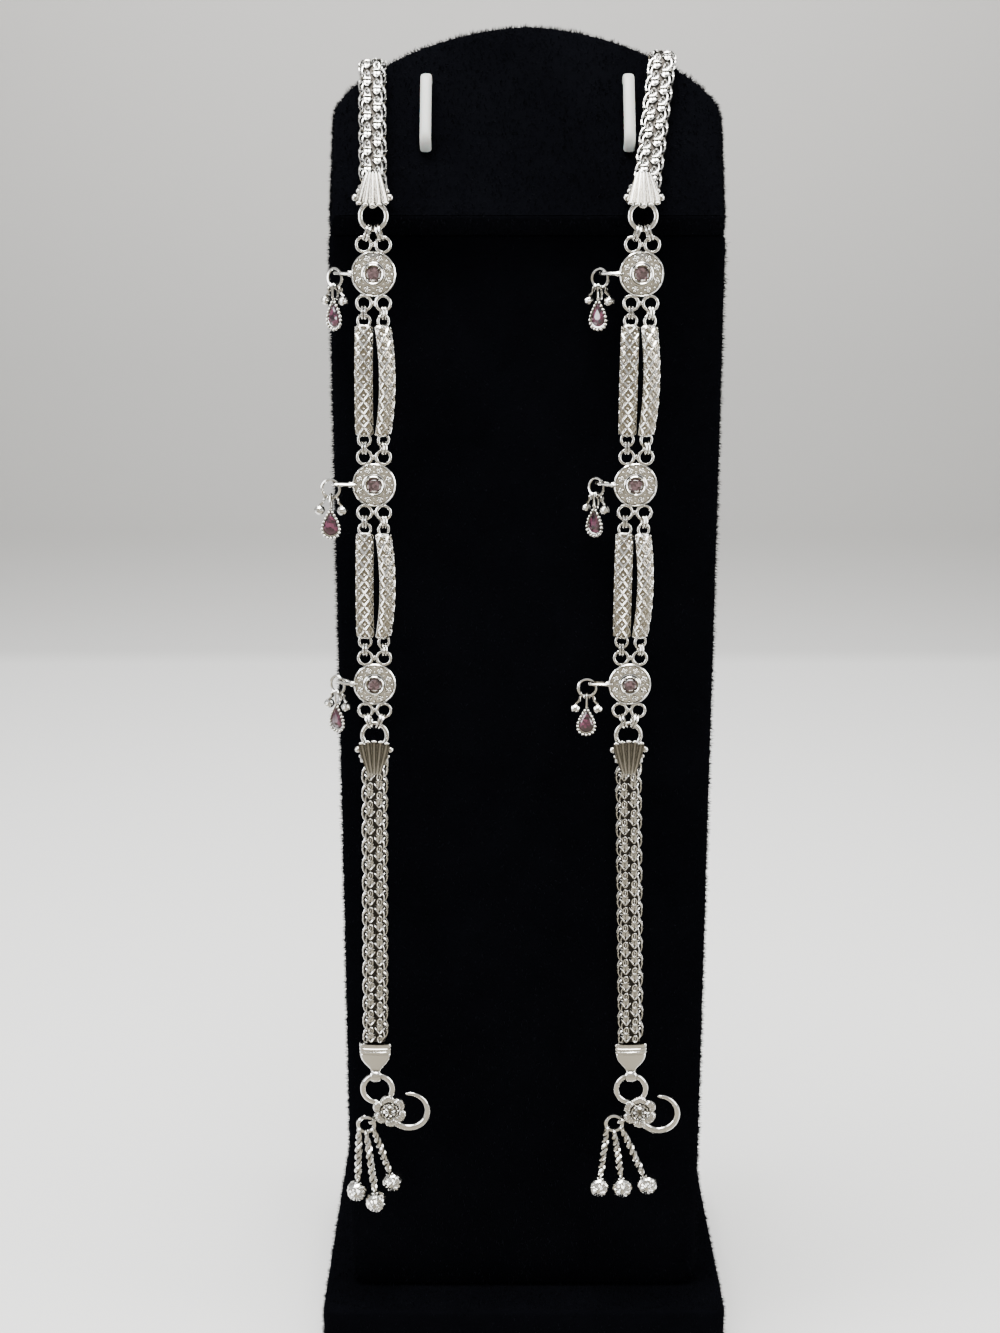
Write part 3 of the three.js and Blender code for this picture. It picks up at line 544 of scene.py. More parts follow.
pileLook = {
    "blades": 30000, "length": (0.4, 1.45), "wide": 0.17, "lean": 0.6, "droop": 0.3, "clump": 1.3,
    "sink": 0.05, "edgeShare": 8, "seed": 7,  # faces that look sideways or up are edgeShare times denser
}


def addPile(source, name, count, keep):
    # short pile: single thin blades standing on the cloth
    random.seed(pileLook["seed"])
    mesh = bpy.data.objects[source].data
    mesh.calc_loop_triangles()
    corners = [v.co / mm for v in mesh.vertices]
    weights, kept = [], []
    for triangle in mesh.loop_triangles:
        a, b, c = (corners[i] for i in triangle.vertices)
        normal = (b - a).cross(c - a)
        if normal.length > 1e-6 and keep(normal.normalized()):
            kept.append((a, b, c, normal.normalized()))
            weights.append(normal.length * (pileLook["edgeShare"] if abs(normal.normalized().y) < 0.4 else 1))
    shape = newShape()
    for a, b, c, normal in random.choices(kept, weights, k=count):
        u, v = random.random(), random.random()
        if u + v > 1:
            u, v = 1 - u, 1 - v
        foot = a + (b - a) * u + (c - a) * v
        sway = [random.uniform(-1, 1) for _ in range(3)]
        lean = Vector((sway[0], sway[1], sway[2] - pileLook["droop"])) * pileLook["lean"]
        clump = 0.5 + 0.5 * noise.noise(foot / pileLook["clump"])  # the pile stands in tufts
        tip = foot + (normal + lean).normalized() * mix(*pileLook["length"], clump * random.uniform(0.3, 1.2))
        tip.z = max(tip.z, pileLook["sink"])
        along = (tip - foot).normalized()
        across = acrossOf(along)[0] * pileLook["wide"] / 2
        across.rotate(Matrix.Rotation(random.uniform(0, turn), 3, along))
        start, sunk = len(shape["points"]), normal * pileLook["sink"]
        shape["points"] += [foot - across - sunk, foot + across - sunk, tip]
        shape["faces"].append((start, start + 1, start + 2))
    makePiece(name, shape, still, pile)


staple = {
    "span": 39.2, "length": 14.6, "along": 22.4, "out": 3.6,
    "wide": 2.2, "thick": 1.6, "bend": 1.5, "sides": 14,
}


def staplePath():
    # a flat hoop as places along the panel and out from it
    half, front, bend = staple["length"] / 2, staple["out"] - staple["thick"] / 2, staple["bend"]
    angles = [math.pi / 2 * k / 6 for k in range(1, 7)]
    path = [(-half, stand["gap"]), (-half, front - bend)]
    path += [(-half + bend - bend * math.cos(a), front - bend + bend * math.sin(a)) for a in angles]
    path += [(-half / 2, front), (0, front), (half / 2, front), (half - bend, front)]
    path += [(half - bend + bend * math.sin(a), front - bend + bend * math.cos(a)) for a in angles]
    return path + [(half, stand["gap"])]


def makeStaple(name, side):
    shape, path = newShape(), staplePath()
    rows = []
    for i, (along, out) in enumerate(path):
        before, after = path[max(i - 1, 0)], path[min(i + 1, len(path) - 1)]
        way = Vector((after[0] - before[0], after[1] - before[1])).normalized()
        normal = Vector((-way.y, way.x))
        row = []
        for j in range(staple["sides"]):
            x, y = squareRound(turn * j / staple["sides"], 0.7)
            wide, lift = staple["wide"] / 2 * x, staple["thick"] / 2 * y
            up = staple["along"] + along + normal.x * lift
            row.append(onPanel(side * staple["span"] / 2 + wide, up, out + normal.y * lift))
        rows.append(row)
    addRows(shape, rows)
    makePiece("white_staple_" + name, shape, still, plastic, ["stand_" + name + "_hook"])


makeBase()
makeBoard()
makePanel()
makeStaple("left", -1)
makeStaple("right", 1)
addPile("stand_panel_cloth", "stand_panel_pile", pileLook["blades"], lambda normal: True)
addPile("stand_board_cloth", "stand_board_pile", 2 * pileLook["blades"], lambda normal: normal.z < 0.5)
addPile("stand_base_cloth", "stand_base_pile", pileLook["blades"], lambda normal: normal.z > -0.5)
print("stand made")


# Anklet pieces, each in its own frame: front towards -Y, up +Z

chain = {"wide": 5.2, "thick": 2.6, "pitch": 3.9, "length": 60, "column": 0.95, "tuck": 2.4, "coreStep": 0.75}
weave = {  # points are to the right, outwards and along within one link; chevron and cross are mirrored
    # core is the dark strip under the weave that stands in for the shade in its gaps
    "core": ((-2.0, 0.5), (-1.5, 0.75), (1.5, 0.75), (2.0, 0.5),
             (2.0, -0.5), (1.5, -0.75), (-1.5, -0.75), (-2.0, -0.5)),
    "chevron": ((1.0, 0.75, 1.35), (0.62, 1.2, 0.95), (0.22, 1.3, 0.42), (0, 1.32, 0.25)),
    "cross": ((0.95, 0.7, 1.95), (0.6, 1.12, 2.02), (0, 1.22, 2.0)),
    # the plate's rows are along, half as wide, and outwards
    "plate": ((0.5, 0.2, 1.04), (0.8, 0.5, 1.14), (1.25, 0.7, 1.17), (1.7, 0.74, 1.12), (1.9, 0.68, 0.95)),
    "tongue": ((0, 0.8, 2.2), (0, 1.02, 2.5), (0, 1.04, 3.05), (0, 0.8, 3.35)),
    "edgeLink": ((1.75, 0.95, 3.5), (2.15, 0.85, 3.2), (2.5, 0.55, 2.5),
                 (2.52, 0.5, 1.2), (2.3, 0.62, 0.5), (1.8, 0.95, 0.1)),
    "edgeTurn": ((1.6, 1.0, 1.7), (1.85, 1.02, 1.1), (1.9, 1.0, 0.4), (1.65, 0.95, -0.2)),
    "edgeBar": ((2.45, 0.9, 1.85), (2.62, 0.4, 1.85), (2.62, -0.4, 1.85), (2.45, -0.9, 1.85)),
}


def mirrored(points):
    return [(-x, out, s) for x, out, s in points] + list(reversed(points[:-1]))


def addColumnLink(shape, put, fits):
    # put(right, out, along) places a point of the link; fits(start, end) tells if that stretch is in the chain
    if fits(0.1, 1.5):  # the bright chevron wire that crosses the column
        addWire(shape, [put(*p) for p in mirrored(weave["chevron"])], 0.34, 6)
    if fits(0.5, 2.0):  # the plate above it, tapering down into the chevron
        rows = []
        for ds, wide, out in weave["plate"]:
            side = [(wide, out - 0.3), (wide * 0.8, out), (0.12, out + 0.02)]
            across = [(-x, y) for x, y in side] + [(0, out - 0.1)] + side[::-1] + [(0, out - 0.6)]
            rows.append([put(x, y, ds) for x, y in across])
        addRows(shape, rows)
    if fits(1.9, 3.7):  # the upright oval link with the wire end in its eye
        angles = [turn * k / 14 for k in range(14)]
        oval = [put(0.48 * math.sin(a), 1.08 + 0.1 * math.cos(a), 2.78 + 0.78 * math.cos(a)) for a in angles]
        addWire(shape, oval, 0.36, 6, loop=True)
        addWire(shape, [put(*p) for p in weave["tongue"]], 0.34, 5)
    if fits(1.8, 2.2):  # the cross wire over the oval link's head
        addWire(shape, [put(*p) for p in mirrored(weave["cross"])], 0.3, 5)


def addEdgeLink(shape, edge):
    for face in (1, -1):
        addWire(shape, [edge(x, out * face, s) for x, out, s in weave["edgeLink"]], 0.42, 6)
        addWire(shape, [edge(x, out * face, s) for x, out, s in weave["edgeTurn"]], 0.34, 6)
    addWire(shape, [edge(*p) for p in weave["edgeBar"]], 0.36, 6)


def addWeave(shape, core, at, first, last):
    # at(x, out, s) places a point of the chain: to the right, outwards in front, and along it
    steps = int(round((last - first) / chain["coreStep"]))
    stops = [first + (last - first) * i / steps for i in range(steps + 1)]
    addRows(core, [[at(x, out, s) for x, out in weave["core"]] for s in stops])
    pitch = chain["pitch"]
    count = int(last / pitch) + 1
    for face in (1, -1):
        for column in (-1, 1):
            x = column * chain["column"]
            for i in range(-2, count + 1):
                low = (i + (0.5 if column > 0 else 0)) * pitch

                def put(dx, out, ds):
                    return at(x + dx, face * out, low + ds)

                def fits(start, end):
                    return low + start > first - 0.1 and low + end < last + 0.1

                addColumnLink(shape, put, fits)
    for side in (-1, 1):
        for i in range(-2, count + 1):
            low = (i + (0.25 if side > 0 else -0.2)) * pitch
            if low < first - 2 or low > last - 1.6:
                continue

            def edge(x, out, ds):
                return at(side * x, out, min(max(low + ds, first + 0.02 * ds), last - 0.02 * (4 - ds)))

            addEdgeLink(shape, edge)


shell = {
    "length": 6.8, "sleeve": 4.6, "sleeveTop": 2.2, "wall": 0.45, "fanWide": 6.4, "fanNarrow": 2.6, "lobes": 5,
    "rise": 0.35, "crown": 0.95, "crownTurn": 1.2, "scallop": 0.32,  # the rim's arch and its scallops
    "ridge": 0.6, "groove": 0.36, "flare": 0.25,  # the ribs' height, the depth between them, the forward lean
    "sunk": 0.2, "sunkTo": 0.93, "rimBead": 0.5, "knob": 0.72, "knobDown": 1.55, "bead": 0.5,
    "ringTuck": 1.5, "tubeRadius": 1.1,
}


def shellShape():
    # rim at z = 0, chain end at z = -length
    shape = newShape()
    front = chain["thick"] / 2 + shell["wall"]
    across, along = 60, 14
    rows, shape["sunk"] = [], []
    for i in range(along + 1):
        share = i / along
        half = mix(shell["fanNarrow"], shell["fanWide"], share ** 0.9) / 2
        row, back = [], []
        for j in range(across + 1):
            u = 2 * j / across - 1
            rib = abs(math.sin(math.pi * shell["lobes"] * (u + 1) / 2))  # 0 on each rib, 1 between
            ridge = (1 - rib) ** 1.8
            # painted shade: the hollows between the ribs are marked to darken
            sunk = shell["sunk"] * (1 - ridge) ** 3 * min(1, 0.4 + share)
            shape["sunk"].append(sunk if share < shell["sunkTo"] else 0.0)
            crown = shell["crown"] * math.cos(u * shell["crownTurn"]) * share
            z = -shell["length"] + (shell["length"] - shell["crown"]) * share + crown
            z += shell["scallop"] * rib * share ** 4
            out = front + shell["rise"] + shell["ridge"] * ridge * (0.35 + 0.65 * share)
            out = out - shell["groove"] * rib * share - shell["flare"] * u * u + shell["flare"] * share
            row.append(Vector((half * u, -out, z)))
            back.append(Vector((half * u, -front + 0.1, z)))
        rows.append(row + back[::-1])
        shape["sunk"] += [0.0] * len(back)
    addRows(shape, rows)
    for j in range(shell["lobes"]):  # a bead on each lobe of the rim
        u = (2 * j + 1) / shell["lobes"] - 1
        x, z = shell["fanWide"] / 2 * u, -0.72 + shell["crown"] * math.cos(u * shell["crownTurn"])
        addBall(shape, (x, -front - 0.35, z), shell["rimBead"], 10, 6, (1.15, 0.7, 0.7))
    for side in (-1, 1):
        x = side * (shell["fanWide"] / 2 + 0.08)
        addBall(shape, (x, -front + 0.05, -shell["knobDown"]), shell["knob"], 12, 8)
        addRing(shape, (x, -front - 0.35, -shell["knobDown"]), (0, 1, 0), 0.42, 0.22, 14, 6)
        addBall(shape, (side * 2.75, -front + 0.2, -3.0), shell["bead"], 10, 6)
    half, deep = chain["wide"] / 2 + shell["wall"] - 0.05, front - 0.02
    rows, corners = [], [squareRound(turn * j / 24, 0.45) for j in range(24)]
    foot, top = -shell["sleeve"], -shell["sleeveTop"]
    for z, grow in ((foot, 0.9), (foot + 0.2, 1), (top - 0.25, 1), (top, 0.92)):
        rows.append([Vector((half * grow * x, -deep * grow * y, z)) for x, y in corners])
    addRows(shape, rows)
    addRing(shape, (0, 0, -shell["ringTuck"]), (1, 0, 0), shell["tubeRadius"], 0.62, 20, 8, 1.4)
    return shape


endCap = {
    "wide": 6.9, "thick": 3.5, "length": 6.7, "crown": 0.18, "tongue": 2.1, "foldRadius": 1.2, "foldWire": 0.5,
}
endCapStops = (  # shares of the length, width and thickness: three raised bands, then a taper into the tongue
    (0, 0.97, 0.97), (0.03, 1, 1), (0.09, 1, 1), (0.105, 0.96, 0.93), (0.13, 0.96, 0.93),
    (0.145, 1, 1), (0.2, 1, 1), (0.215, 0.96, 0.93), (0.24, 0.96, 0.93),
    (0.255, 0.99, 0.99), (0.31, 0.985, 0.98), (0.325, 0.95, 0.9),
    (0.35, 0.95, 0.9), (0.365, 0.97, 0.93), (0.45, 0.95, 0.84), (0.55, 0.90, 0.74), (0.65, 0.80, 0.66),
    (0.75, 0.66, 0.55), (0.85, 0.48, 0.42), (0.93, 0.35, 0.32), (1.0, 0.305, 0.286),
)


def endCapShape():
    shape = newShape()
    rows = []
    for down, wide, thick in endCapStops:
        row = []
        for x, y in [squareRound(turn * j / 32, 0.4) for j in range(32)]:
            deep = -endCap["thick"] / 2 * thick * y * (1 - endCap["crown"] * x * x)
            row.append(Vector((endCap["wide"] / 2 * wide * x, deep, -endCap["length"] * down)))
        rows.append(row)
    addRows(shape, rows)
    fold = (0, 0, -endCap["length"] - endCap["foldRadius"])
    addRing(shape, fold, (1, 0, 0), endCap["foldRadius"], endCap["foldWire"], 28, 8, endCap["tongue"])
    return shape


disc = {
    "radius": 4.3, "thick": 1.1, "florets": 8, "floretOut": 3.08, "petal": 0.29, "petalOut": 0.38,
    "beads": ((3.55, 0.24), (2.62, 0.2)),  # how far out, and their radius
    "claws": 4, "clawOut": 1.58, "claw": 0.2, "stoneSides": 16,
    "eyeOffset": 5.5, "eyeSpread": 1.87, "eyeRadius": 1.39, "eyeWire": 0.62,  # the four soldered rings
    "loopReach": 4.3, "loopSink": 0.3, "loopWide": 2.3, "loopWire": 0.6,
}


def onDisc(angle, out, front):
    return Vector((out * math.sin(angle), -front, out * math.cos(angle)))


def sideLoopShape():
    # a soldered wire loop that reaches left from the disc's rim
    loop = newShape()
    radius, reach = (disc["loopWide"] - disc["loopWire"]) / 2, disc["loopReach"] - disc["loopSink"]
    path = [Vector((0.6, radius * 0.55, 0)), Vector((-0.8, radius * 0.95, 0))]
    for k in range(9):
        a = math.pi / 2 + math.pi * k / 8
        path.append(Vector((-reach + radius + radius * math.cos(a), radius * math.sin(a), 0)))
    path += [Vector((-0.8, -radius * 0.95, 0)), Vector((0.6, -radius * 0.55, 0))]
    addWire(loop, path, disc["loopWire"], 8)
    addBall(loop, (-0.2, 0, 0), 0.85, 12, 7, (1, 0.9, 0.8))
    return loop


def medallionShape(loopTurn):
    shape = newShape()
    back, front = -disc["thick"] / 2, disc["thick"] / 2
    profile = [(0, back), (2.5, back), (3.9, back * 0.85), (4.2, back * 0.5), (4.3, 0), (4.28, front * 0.45)]
    profile += [(4.12, front * 0.72), (3.98, front * 0.6), (3.88, front * 0.3), (3.2, front * 0.62)]
    profile += [(2.6, front * 0.85), (2.3, front * 0.9)]
    bezel = [(2.28, 0.12), (2.12, 0.22), (2.0, 0.12), (1.97, 0.1), (1.93, 0.6), (1.8, 0.72)]
    bezel += [(1.66, 0.62), (1.6, 0.1), (0, 0.05)]
    addTurned(shape, (0, 0, 0), profile + [(radius, front + height) for radius, height in bezel], 64)
    for k in range(disc["florets"]):  # four-petal florets with beads between
        a, b = turn * (k + 0.5) / disc["florets"], turn * k / disc["florets"]
        at = onDisc(a, disc["floretOut"], front * 0.72)
        out, side = onDisc(a, 1, 0), Vector((math.cos(a), 0, -math.sin(a)))
        for way in (out, -out, side, -side):
            petal = at + way * disc["petalOut"] + Vector((0, -0.12, 0))
            addBall(shape, petal, disc["petal"], 9, 6, (1, 0.75, 1))
        addBall(shape, at + Vector((0, -0.26, 0)), 0.2, 8, 5)
        for radius, size in disc["beads"]:
            addBall(shape, onDisc(b, radius, front * 0.62), size, 8, 5)
    for k in range(disc["claws"]):  # claws over the stone's edge
        a = turn * (k + 0.5) / disc["claws"]
        addBall(shape, onDisc(a, disc["clawOut"], front + 0.5), disc["claw"], 8, 5)
    bent = ((1.1, 4.05), (0.55, 4.75), (0.33, 5.5), (0.5, 6.15))
    for up in (1, -1):  # two rings above and two below, with a bent wire beside each and a bead between
        for side in (1, -1):
            centre = (side * disc["eyeSpread"], 0, up * disc["eyeOffset"])
            addRing(shape, centre, (0, 1, 0), disc["eyeRadius"], disc["eyeWire"], 30, 10)
            addWire(shape, [Vector((side * x, 0, up * z)) for x, z in bent], 0.52, 8)
        addBall(shape, (0, 0, up * disc["eyeOffset"]), 0.42, 10, 6, (0.9, 0.7, 1.2))
    addShape(shape, sideLoopShape(), slide(-disc["radius"], 0, 0) @ rotated(-math.radians(loopTurn), "Z"))
    return shape


def roundStoneShape():
    shape = newShape()
    front, sides = disc["thick"] / 2, disc["stoneSides"]
    profile = [(r, front + h) for r, h in ((1.52, 0), (1.5, 0.2), (1.12, 0.48), (0.72, 0.56), (0, 0.57))]

    def facets(angle, radius, height):
        return (1 if round(angle / turn * sides) % 2 else 0.93), 0

    addTurned(shape, (0, 0, 0), profile, sides, facets)
    return shape


bar = {
    "length": 21.7, "wide": 3.6, "thick": 1.3, "bow": 1.7, "cellAlong": 2.6, "cellAcross": 2.35,
    "relief": 0.4,  # the rest of the lattice is in shares of a cell or of the relief
    "bead": 0.24, "pit": 0.88, "rim": 0.94, "taper": 0.07, "plainEnd": 0.05, "plainSide": 1.32, "sunk": 0.9,
    "eyeRadius": 1.2, "eyeWire": 0.6, "eyeOut": 0.6,
}


def latticeHeight(u, v):
    # diamond cells with thin rims: pits with a long lower wall, a short upper one and a bead in the middle
    best, wall = 9, 0.2
    for shift in (0, 0.5):
        cu, cv = (u - shift) - round(u - shift), (v - shift) - round(v - shift)
        reach = 2 * (abs(cu) + abs(cv))
        if reach < best:
            best, wall = reach, 0.42 if cv < 0 else 0.18
    if best < bar["bead"]:
        return 0.12 + 0.6 * math.sqrt(1 - (best / bar["bead"]) ** 2)
    return 1 - bar["pit"] * min(1, max(0, bar["rim"] - best) / wall)


def barShape():
    shape = newShape()
    across, along = 44, 190
    rows, shape["sunk"] = [], []
    for i in range(along + 1):
        share = 2 * i / along - 1
        z = bar["length"] / 2 * share
        near = 1 - abs(share)
        narrow = 1
        if near <= bar["taper"]:
            narrow = math.sqrt(max(0.0, 1 - (1 - near / bar["taper"]) ** 2)) * 0.5 + 0.5
        bow = bar["bow"] * (1 - share ** 2)
        row = []
        for j in range(across + 1):
            a = math.pi * (j / across - 0.5) * 0.94
            arcAcross = bar["wide"] * 0.5 * a * 1.12
            lift = latticeHeight(arcAcross / bar["cellAcross"], z / bar["cellAlong"]) * bar["relief"]
            if near < bar["plainEnd"]:
                lift = bar["relief"] * 0.7
            if abs(a) > bar["plainSide"]:
                lift = bar["relief"] * 0.6
            # painted shade: the lattice's pits are marked to darken
            shape["sunk"].append(max(0.0, 1 - lift / bar["relief"] / 0.5) * bar["sunk"])
            side, front = math.sin(a), math.cos(a) ** 0.75
            body = (bar["thick"] - bar["relief"]) * front * (0.55 + 0.45 * narrow)
            x = (bar["wide"] / 2 - 0.12 + lift * 0.5) * side * narrow
            row.append(Vector((x, -(bow - bar["thick"] / 2 + body + lift * front), z)))
        wide, y = bar["wide"] / 2 * 0.88 * narrow, -(bow - bar["thick"] / 2 - 0.02)
        back = [Vector((wide * s, y, z)) for s in (1, 0.5, 0, -0.5, -1)]
        rows.append(row + back)
        shape["sunk"] += [0.0] * len(back)
    addRows(shape, rows)
    for up in (1, -1):
        z = up * (bar["length"] / 2 + bar["eyeOut"])
        addRing(shape, (0, 0, z), (0, 1, 0), bar["eyeRadius"], bar["eyeWire"], 26, 9)
    return shape


linkLook = {"radius": 1.6, "wire": 0.52, "play": 0.24, "top": 0.5, "foot": 1.7, "spread": 0.3}


def addJumpRing(shape, centre, axis, radius, wire, spread):
    # two turns of wire side by side
    axis = Vector(axis).normalized()
    for side in (-1, 1):
        addRing(shape, Vector(centre) + axis * side * spread, axis, radius, wire, 24, 8)


def linkPairShape():
    # two double rings that lean together at the top
    shape = newShape()
    tilt = math.atan2(linkLook["foot"] - linkLook["top"], 2 * linkLook["radius"])
    for side in (1, -1):
        link = newShape()
        addJumpRing(link, (0, 0, 0), (1, 0, 0), linkLook["radius"], linkLook["wire"], linkLook["spread"])
        place = slide(side * (linkLook["foot"] + linkLook["top"]) / 2, 0, 0) @ rotated(-side * tilt, "Y")
        addShape(shape, link, place)
    return shape


charm = {
    "radius": 1.8, "wire": 0.6, "bead": 1.1, "spread": 2.3, "drop": 4.3,  # the ring and its two round bells
    "seam": 0.16, "bindings": (-0.25, 0.3),
    "pearLong": 6, "pearWide": 3.7, "pearThick": 1.5, "milling": 20, "millBead": 0.36, "millOut": 0.97,
    "bailRadius": 0.75, "bailWire": 0.45, "bailStretch": 1.7,
}
bailDown = charm["bailRadius"] * 2 + charm["bailStretch"]
pearDrop = bailDown + charm["pearLong"] / 2 - charm["bailWire"] / 2 - 0.1  # down to the middle of the pear


def charmShape():
    shape = newShape()
    addRing(shape, (0, 0, 0), (0, 1, 0), charm["radius"], charm["wire"], 30, 9)
    for side in (1, -1):
        ball = Vector((side * charm["spread"], 0, -charm["drop"]))
        addBall(shape, ball, charm["bead"], 10, 7, (1, 1, 0.92), shift=True)
        addRing(shape, ball, (0, 0, 1), charm["bead"] * 0.97, charm["seam"], 20, 6)
        neck = Vector((side * charm["radius"] * 0.62, 0, -charm["radius"] * 0.82))
        addWire(shape, [ball + Vector((0, 0, 0.9)), ball + (neck - ball) * 0.5, neck], 0.5, 8)
        addRing(shape, neck + (ball - neck) * 0.28, (1, 0.2, 0), 0.55, 0.32, 18, 7)
    for k in charm["bindings"]:
        centre = (charm["radius"] * math.sin(math.pi + k), 0, charm["radius"] * math.cos(math.pi + k))
        addRing(shape, centre, (math.cos(k), 0, -math.sin(k)), 0.5, 0.26, 16, 6)
    return shape


def pearAt(angle, reach, height):
    # the drop's outline, pointed at the top; reach 1 is its full size
    narrow = math.sin(abs(angle) / 2) ** 1.3
    x = math.sin(angle) * narrow * reach * charm["pearWide"] / 1.45
    return Vector((x, -height, math.cos(angle) * reach * charm["pearLong"] / 2 - pearDrop))


def pearShape():
    shape = newShape()
    half, sides, fine = charm["pearThick"] / 2, 48, 260
    profile = [(0.02, -0.92), (0.6, -0.92), (0.86, -0.8), (0.94, -0.3), (0.94, 0.42)]
    profile += [(0.86, 0.55), (0.78, 0.5), (0.74, 0.1), (0.02, 0.05)]
    angles = [turn * (j / sides - 0.5) for j in range(sides)]
    addRows(shape, [[pearAt(a, reach, half * height) for a in angles] for reach, height in profile])
    outline = [pearAt(turn * (k / fine - 0.5), charm["millOut"], 0) for k in range(fine)]
    lengths = [0]
    for a, b in zip(outline, outline[1:] + outline[:1]):
        lengths.append(lengths[-1] + (b - a).length)
    for k in range(charm["milling"]):  # beads of the milled edge, evenly along the outline
        want = lengths[-1] * k / charm["milling"]
        index = max(i for i in range(fine) if lengths[i] <= want)
        addBall(shape, outline[index] + Vector((0, -half * 0.42, 0)), charm["millBead"], 8, 6, (1, 1.4, 1))
    bail = charm["bailRadius"]
    addRing(shape, (0, 0, -bail), (1, 0, 0), bail, charm["bailWire"], 26, 8, None, charm["bailStretch"])
    return shape


def pearStoneShape():
    # facets in rows, every other row turned by half a facet
    shape = newShape()
    half, sides = charm["pearThick"] / 2, 14
    rows, profile = [], ((0.79, 0.3), (0.74, 0.56), (0.54, 0.84), (0.34, 0.96), (0.02, 0.98))
    for row, (reach, height) in enumerate(profile):
        angles = [turn * ((j + 0.5 * (row % 2)) / sides - 0.5) for j in range(sides)]
        rows.append([pearAt(a, reach, half * height) for a in angles])
    addRows(shape, rows)
    return shape


clasp = {
    "ring": 3.15, "ringWire": 1.3, "flower": 3.8, "flowerRight": 1.85, "flowerDown": 5.3, "flowerBack": 0.1,
    "hook": 4, "hookWire": 1.6, "hookTip": 0.8, "hookRight": 5.95, "hookDown": 6,
    "hookFrom": math.radians(195), "hookTo": math.radians(452), "taperFrom": 0.45, "tipFrom": 0.985,
    "petalsFrom": 1.9, "ropeRadius": 1.72, "ropeTwists": 12, "ropeSwing": 0.13,
    "ropeWire": 0.3, "ropeCore": 0.36,
    "eyeRadius": 0.85, "eyeWire": 0.5, "eyeAngle": math.radians(207),
    "tasselRing": 1.75, "tasselWire": 0.85, "play": 0.24,
}
claspEyeOut = clasp["flower"] + clasp["tasselWire"] / 2 + clasp["play"]


def besideFlower(out):
    right = clasp["flowerRight"] + out * math.cos(clasp["eyeAngle"])
    return Vector((right, 0, out * math.sin(clasp["eyeAngle"]) - clasp["flowerDown"]))


def petalWave(angle, radius, height):
    # six ribbed petals outside the middle
    if radius < clasp["petalsFrom"]:
        return 1, 0
    lobe = abs(math.cos(3 * angle))
    ridge = abs(math.sin(15 * angle)) if radius < 3.7 else 0
    lift = 0.16 * ridge * min(1, (radius - clasp["petalsFrom"]) / 0.5) - 0.25 * (1 - lobe) ** 2
    return 0.80 + 0.2 * lobe ** 0.55, lift


def addFlower(shape, centre):
    x, y, z = centre
    petals = [(0, 0), (2.6, 0), (3.55, 0.15), (3.8, 0.4), (3.75, 0.7), (3.5, 0.98), (3.0, 1.15)]
    petals += [(2.5, 1.1), (2.1, 0.85), (1.9, 0.7), (1.1, 0.75), (0, 0.8)]
    addTurned(shape, centre, petals, 120, petalWave)
    rope = []
    for k in range(144):  # the twisted wire round the middle
        a, twist = turn * k / 144, turn * clasp["ropeTwists"] * k / 144
        r = clasp["ropeRadius"] + clasp["ropeSwing"] * math.cos(twist)
        front = y - 1.02 - clasp["ropeSwing"] * math.sin(twist)
        rope.append(Vector((x + r * math.sin(a), front, z + r * math.cos(a))))
    addWire(shape, rope, clasp["ropeWire"], 6, loop=True)
    addRing(shape, (x, y - 0.9, z), (0, 1, 0), clasp["ropeRadius"], clasp["ropeCore"], 36, 6)
    boss = [(1.5, 0.7), (1.4, 1.0), (1.05, 1.22), (0.55, 1.1), (0, 0.95)]
    addTurned(shape, centre, boss, 32, lambda a, r, h: (1, 0.16 * math.cos(8 * a) if 0.2 < r < 1.45 else 0))


def hookWireAt(share):
    # the hook thins towards its rounded tip
    taper = max(0, (share - clasp["taperFrom"]) / (1 - clasp["taperFrom"]))
    return mix(clasp["hookWire"], clasp["hookTip"], taper) * (1 if share < clasp["tipFrom"] else 0.55)


def claspShape():
    shape = newShape()
    addRing(shape, (0, 0, 0), (0, 1, 0), clasp["ring"], clasp["ringWire"], 44, 14)
    path = []
    for k in range(49):
        a = mix(clasp["hookFrom"], clasp["hookTo"], k / 48)
        right = clasp["hookRight"] + clasp["hook"] * math.cos(a)
        up = clasp["hook"] * math.sin(a) - clasp["hookDown"]
        path.append(Vector((right, clasp["flowerBack"], up)))
    addWire(shape, path, hookWireAt, 14)
    addFlower(shape, (clasp["flowerRight"], clasp["flowerBack"], -clasp["flowerDown"]))
    square = math.pi / 2 - clasp["eyeAngle"]
    axis = (math.cos(square), 0, -math.sin(square))
    addRing(shape, besideFlower(claspEyeOut), axis, clasp["eyeRadius"], clasp["eyeWire"], 22, 8, 0.8)
    return shape


tassel = {
    "wire": 0.9, "twist": 0.4, "turns": 3.8, "ball": 2.35, "ballGap": 0.2,
    "fan": math.pi / 3,  # between the strands' places on the ring
    "cutRows": 22, "cutSides": 48, "strokes": 6, "cutDeep": 0.12, "cutLow": 0.10, "cutSlant": 3,
}


def cutBallShape():
    # diamond-cut strokes in rings round the ball
    cut, sides = newShape(), tassel["cutSides"]
    levels = []
    for i in range(1, tassel["cutRows"]):
        polar = math.pi * i / tassel["cutRows"]
        stroke = tassel["cutDeep"] * (i // 3 % 2) + tassel["cutLow"]
        level = []
        for j in range(sides):
            a = turn * j / sides
            way = Vector((math.sin(polar) * math.sin(a), -math.cos(polar), math.sin(polar) * math.cos(a)))
            slant = a * tassel["strokes"] + polar * tassel["cutSlant"]
            level.append(way * (tassel["ball"] - stroke * abs(math.sin(slant))))
        levels.append(level)
    addRows(cut, levels)
    return cut


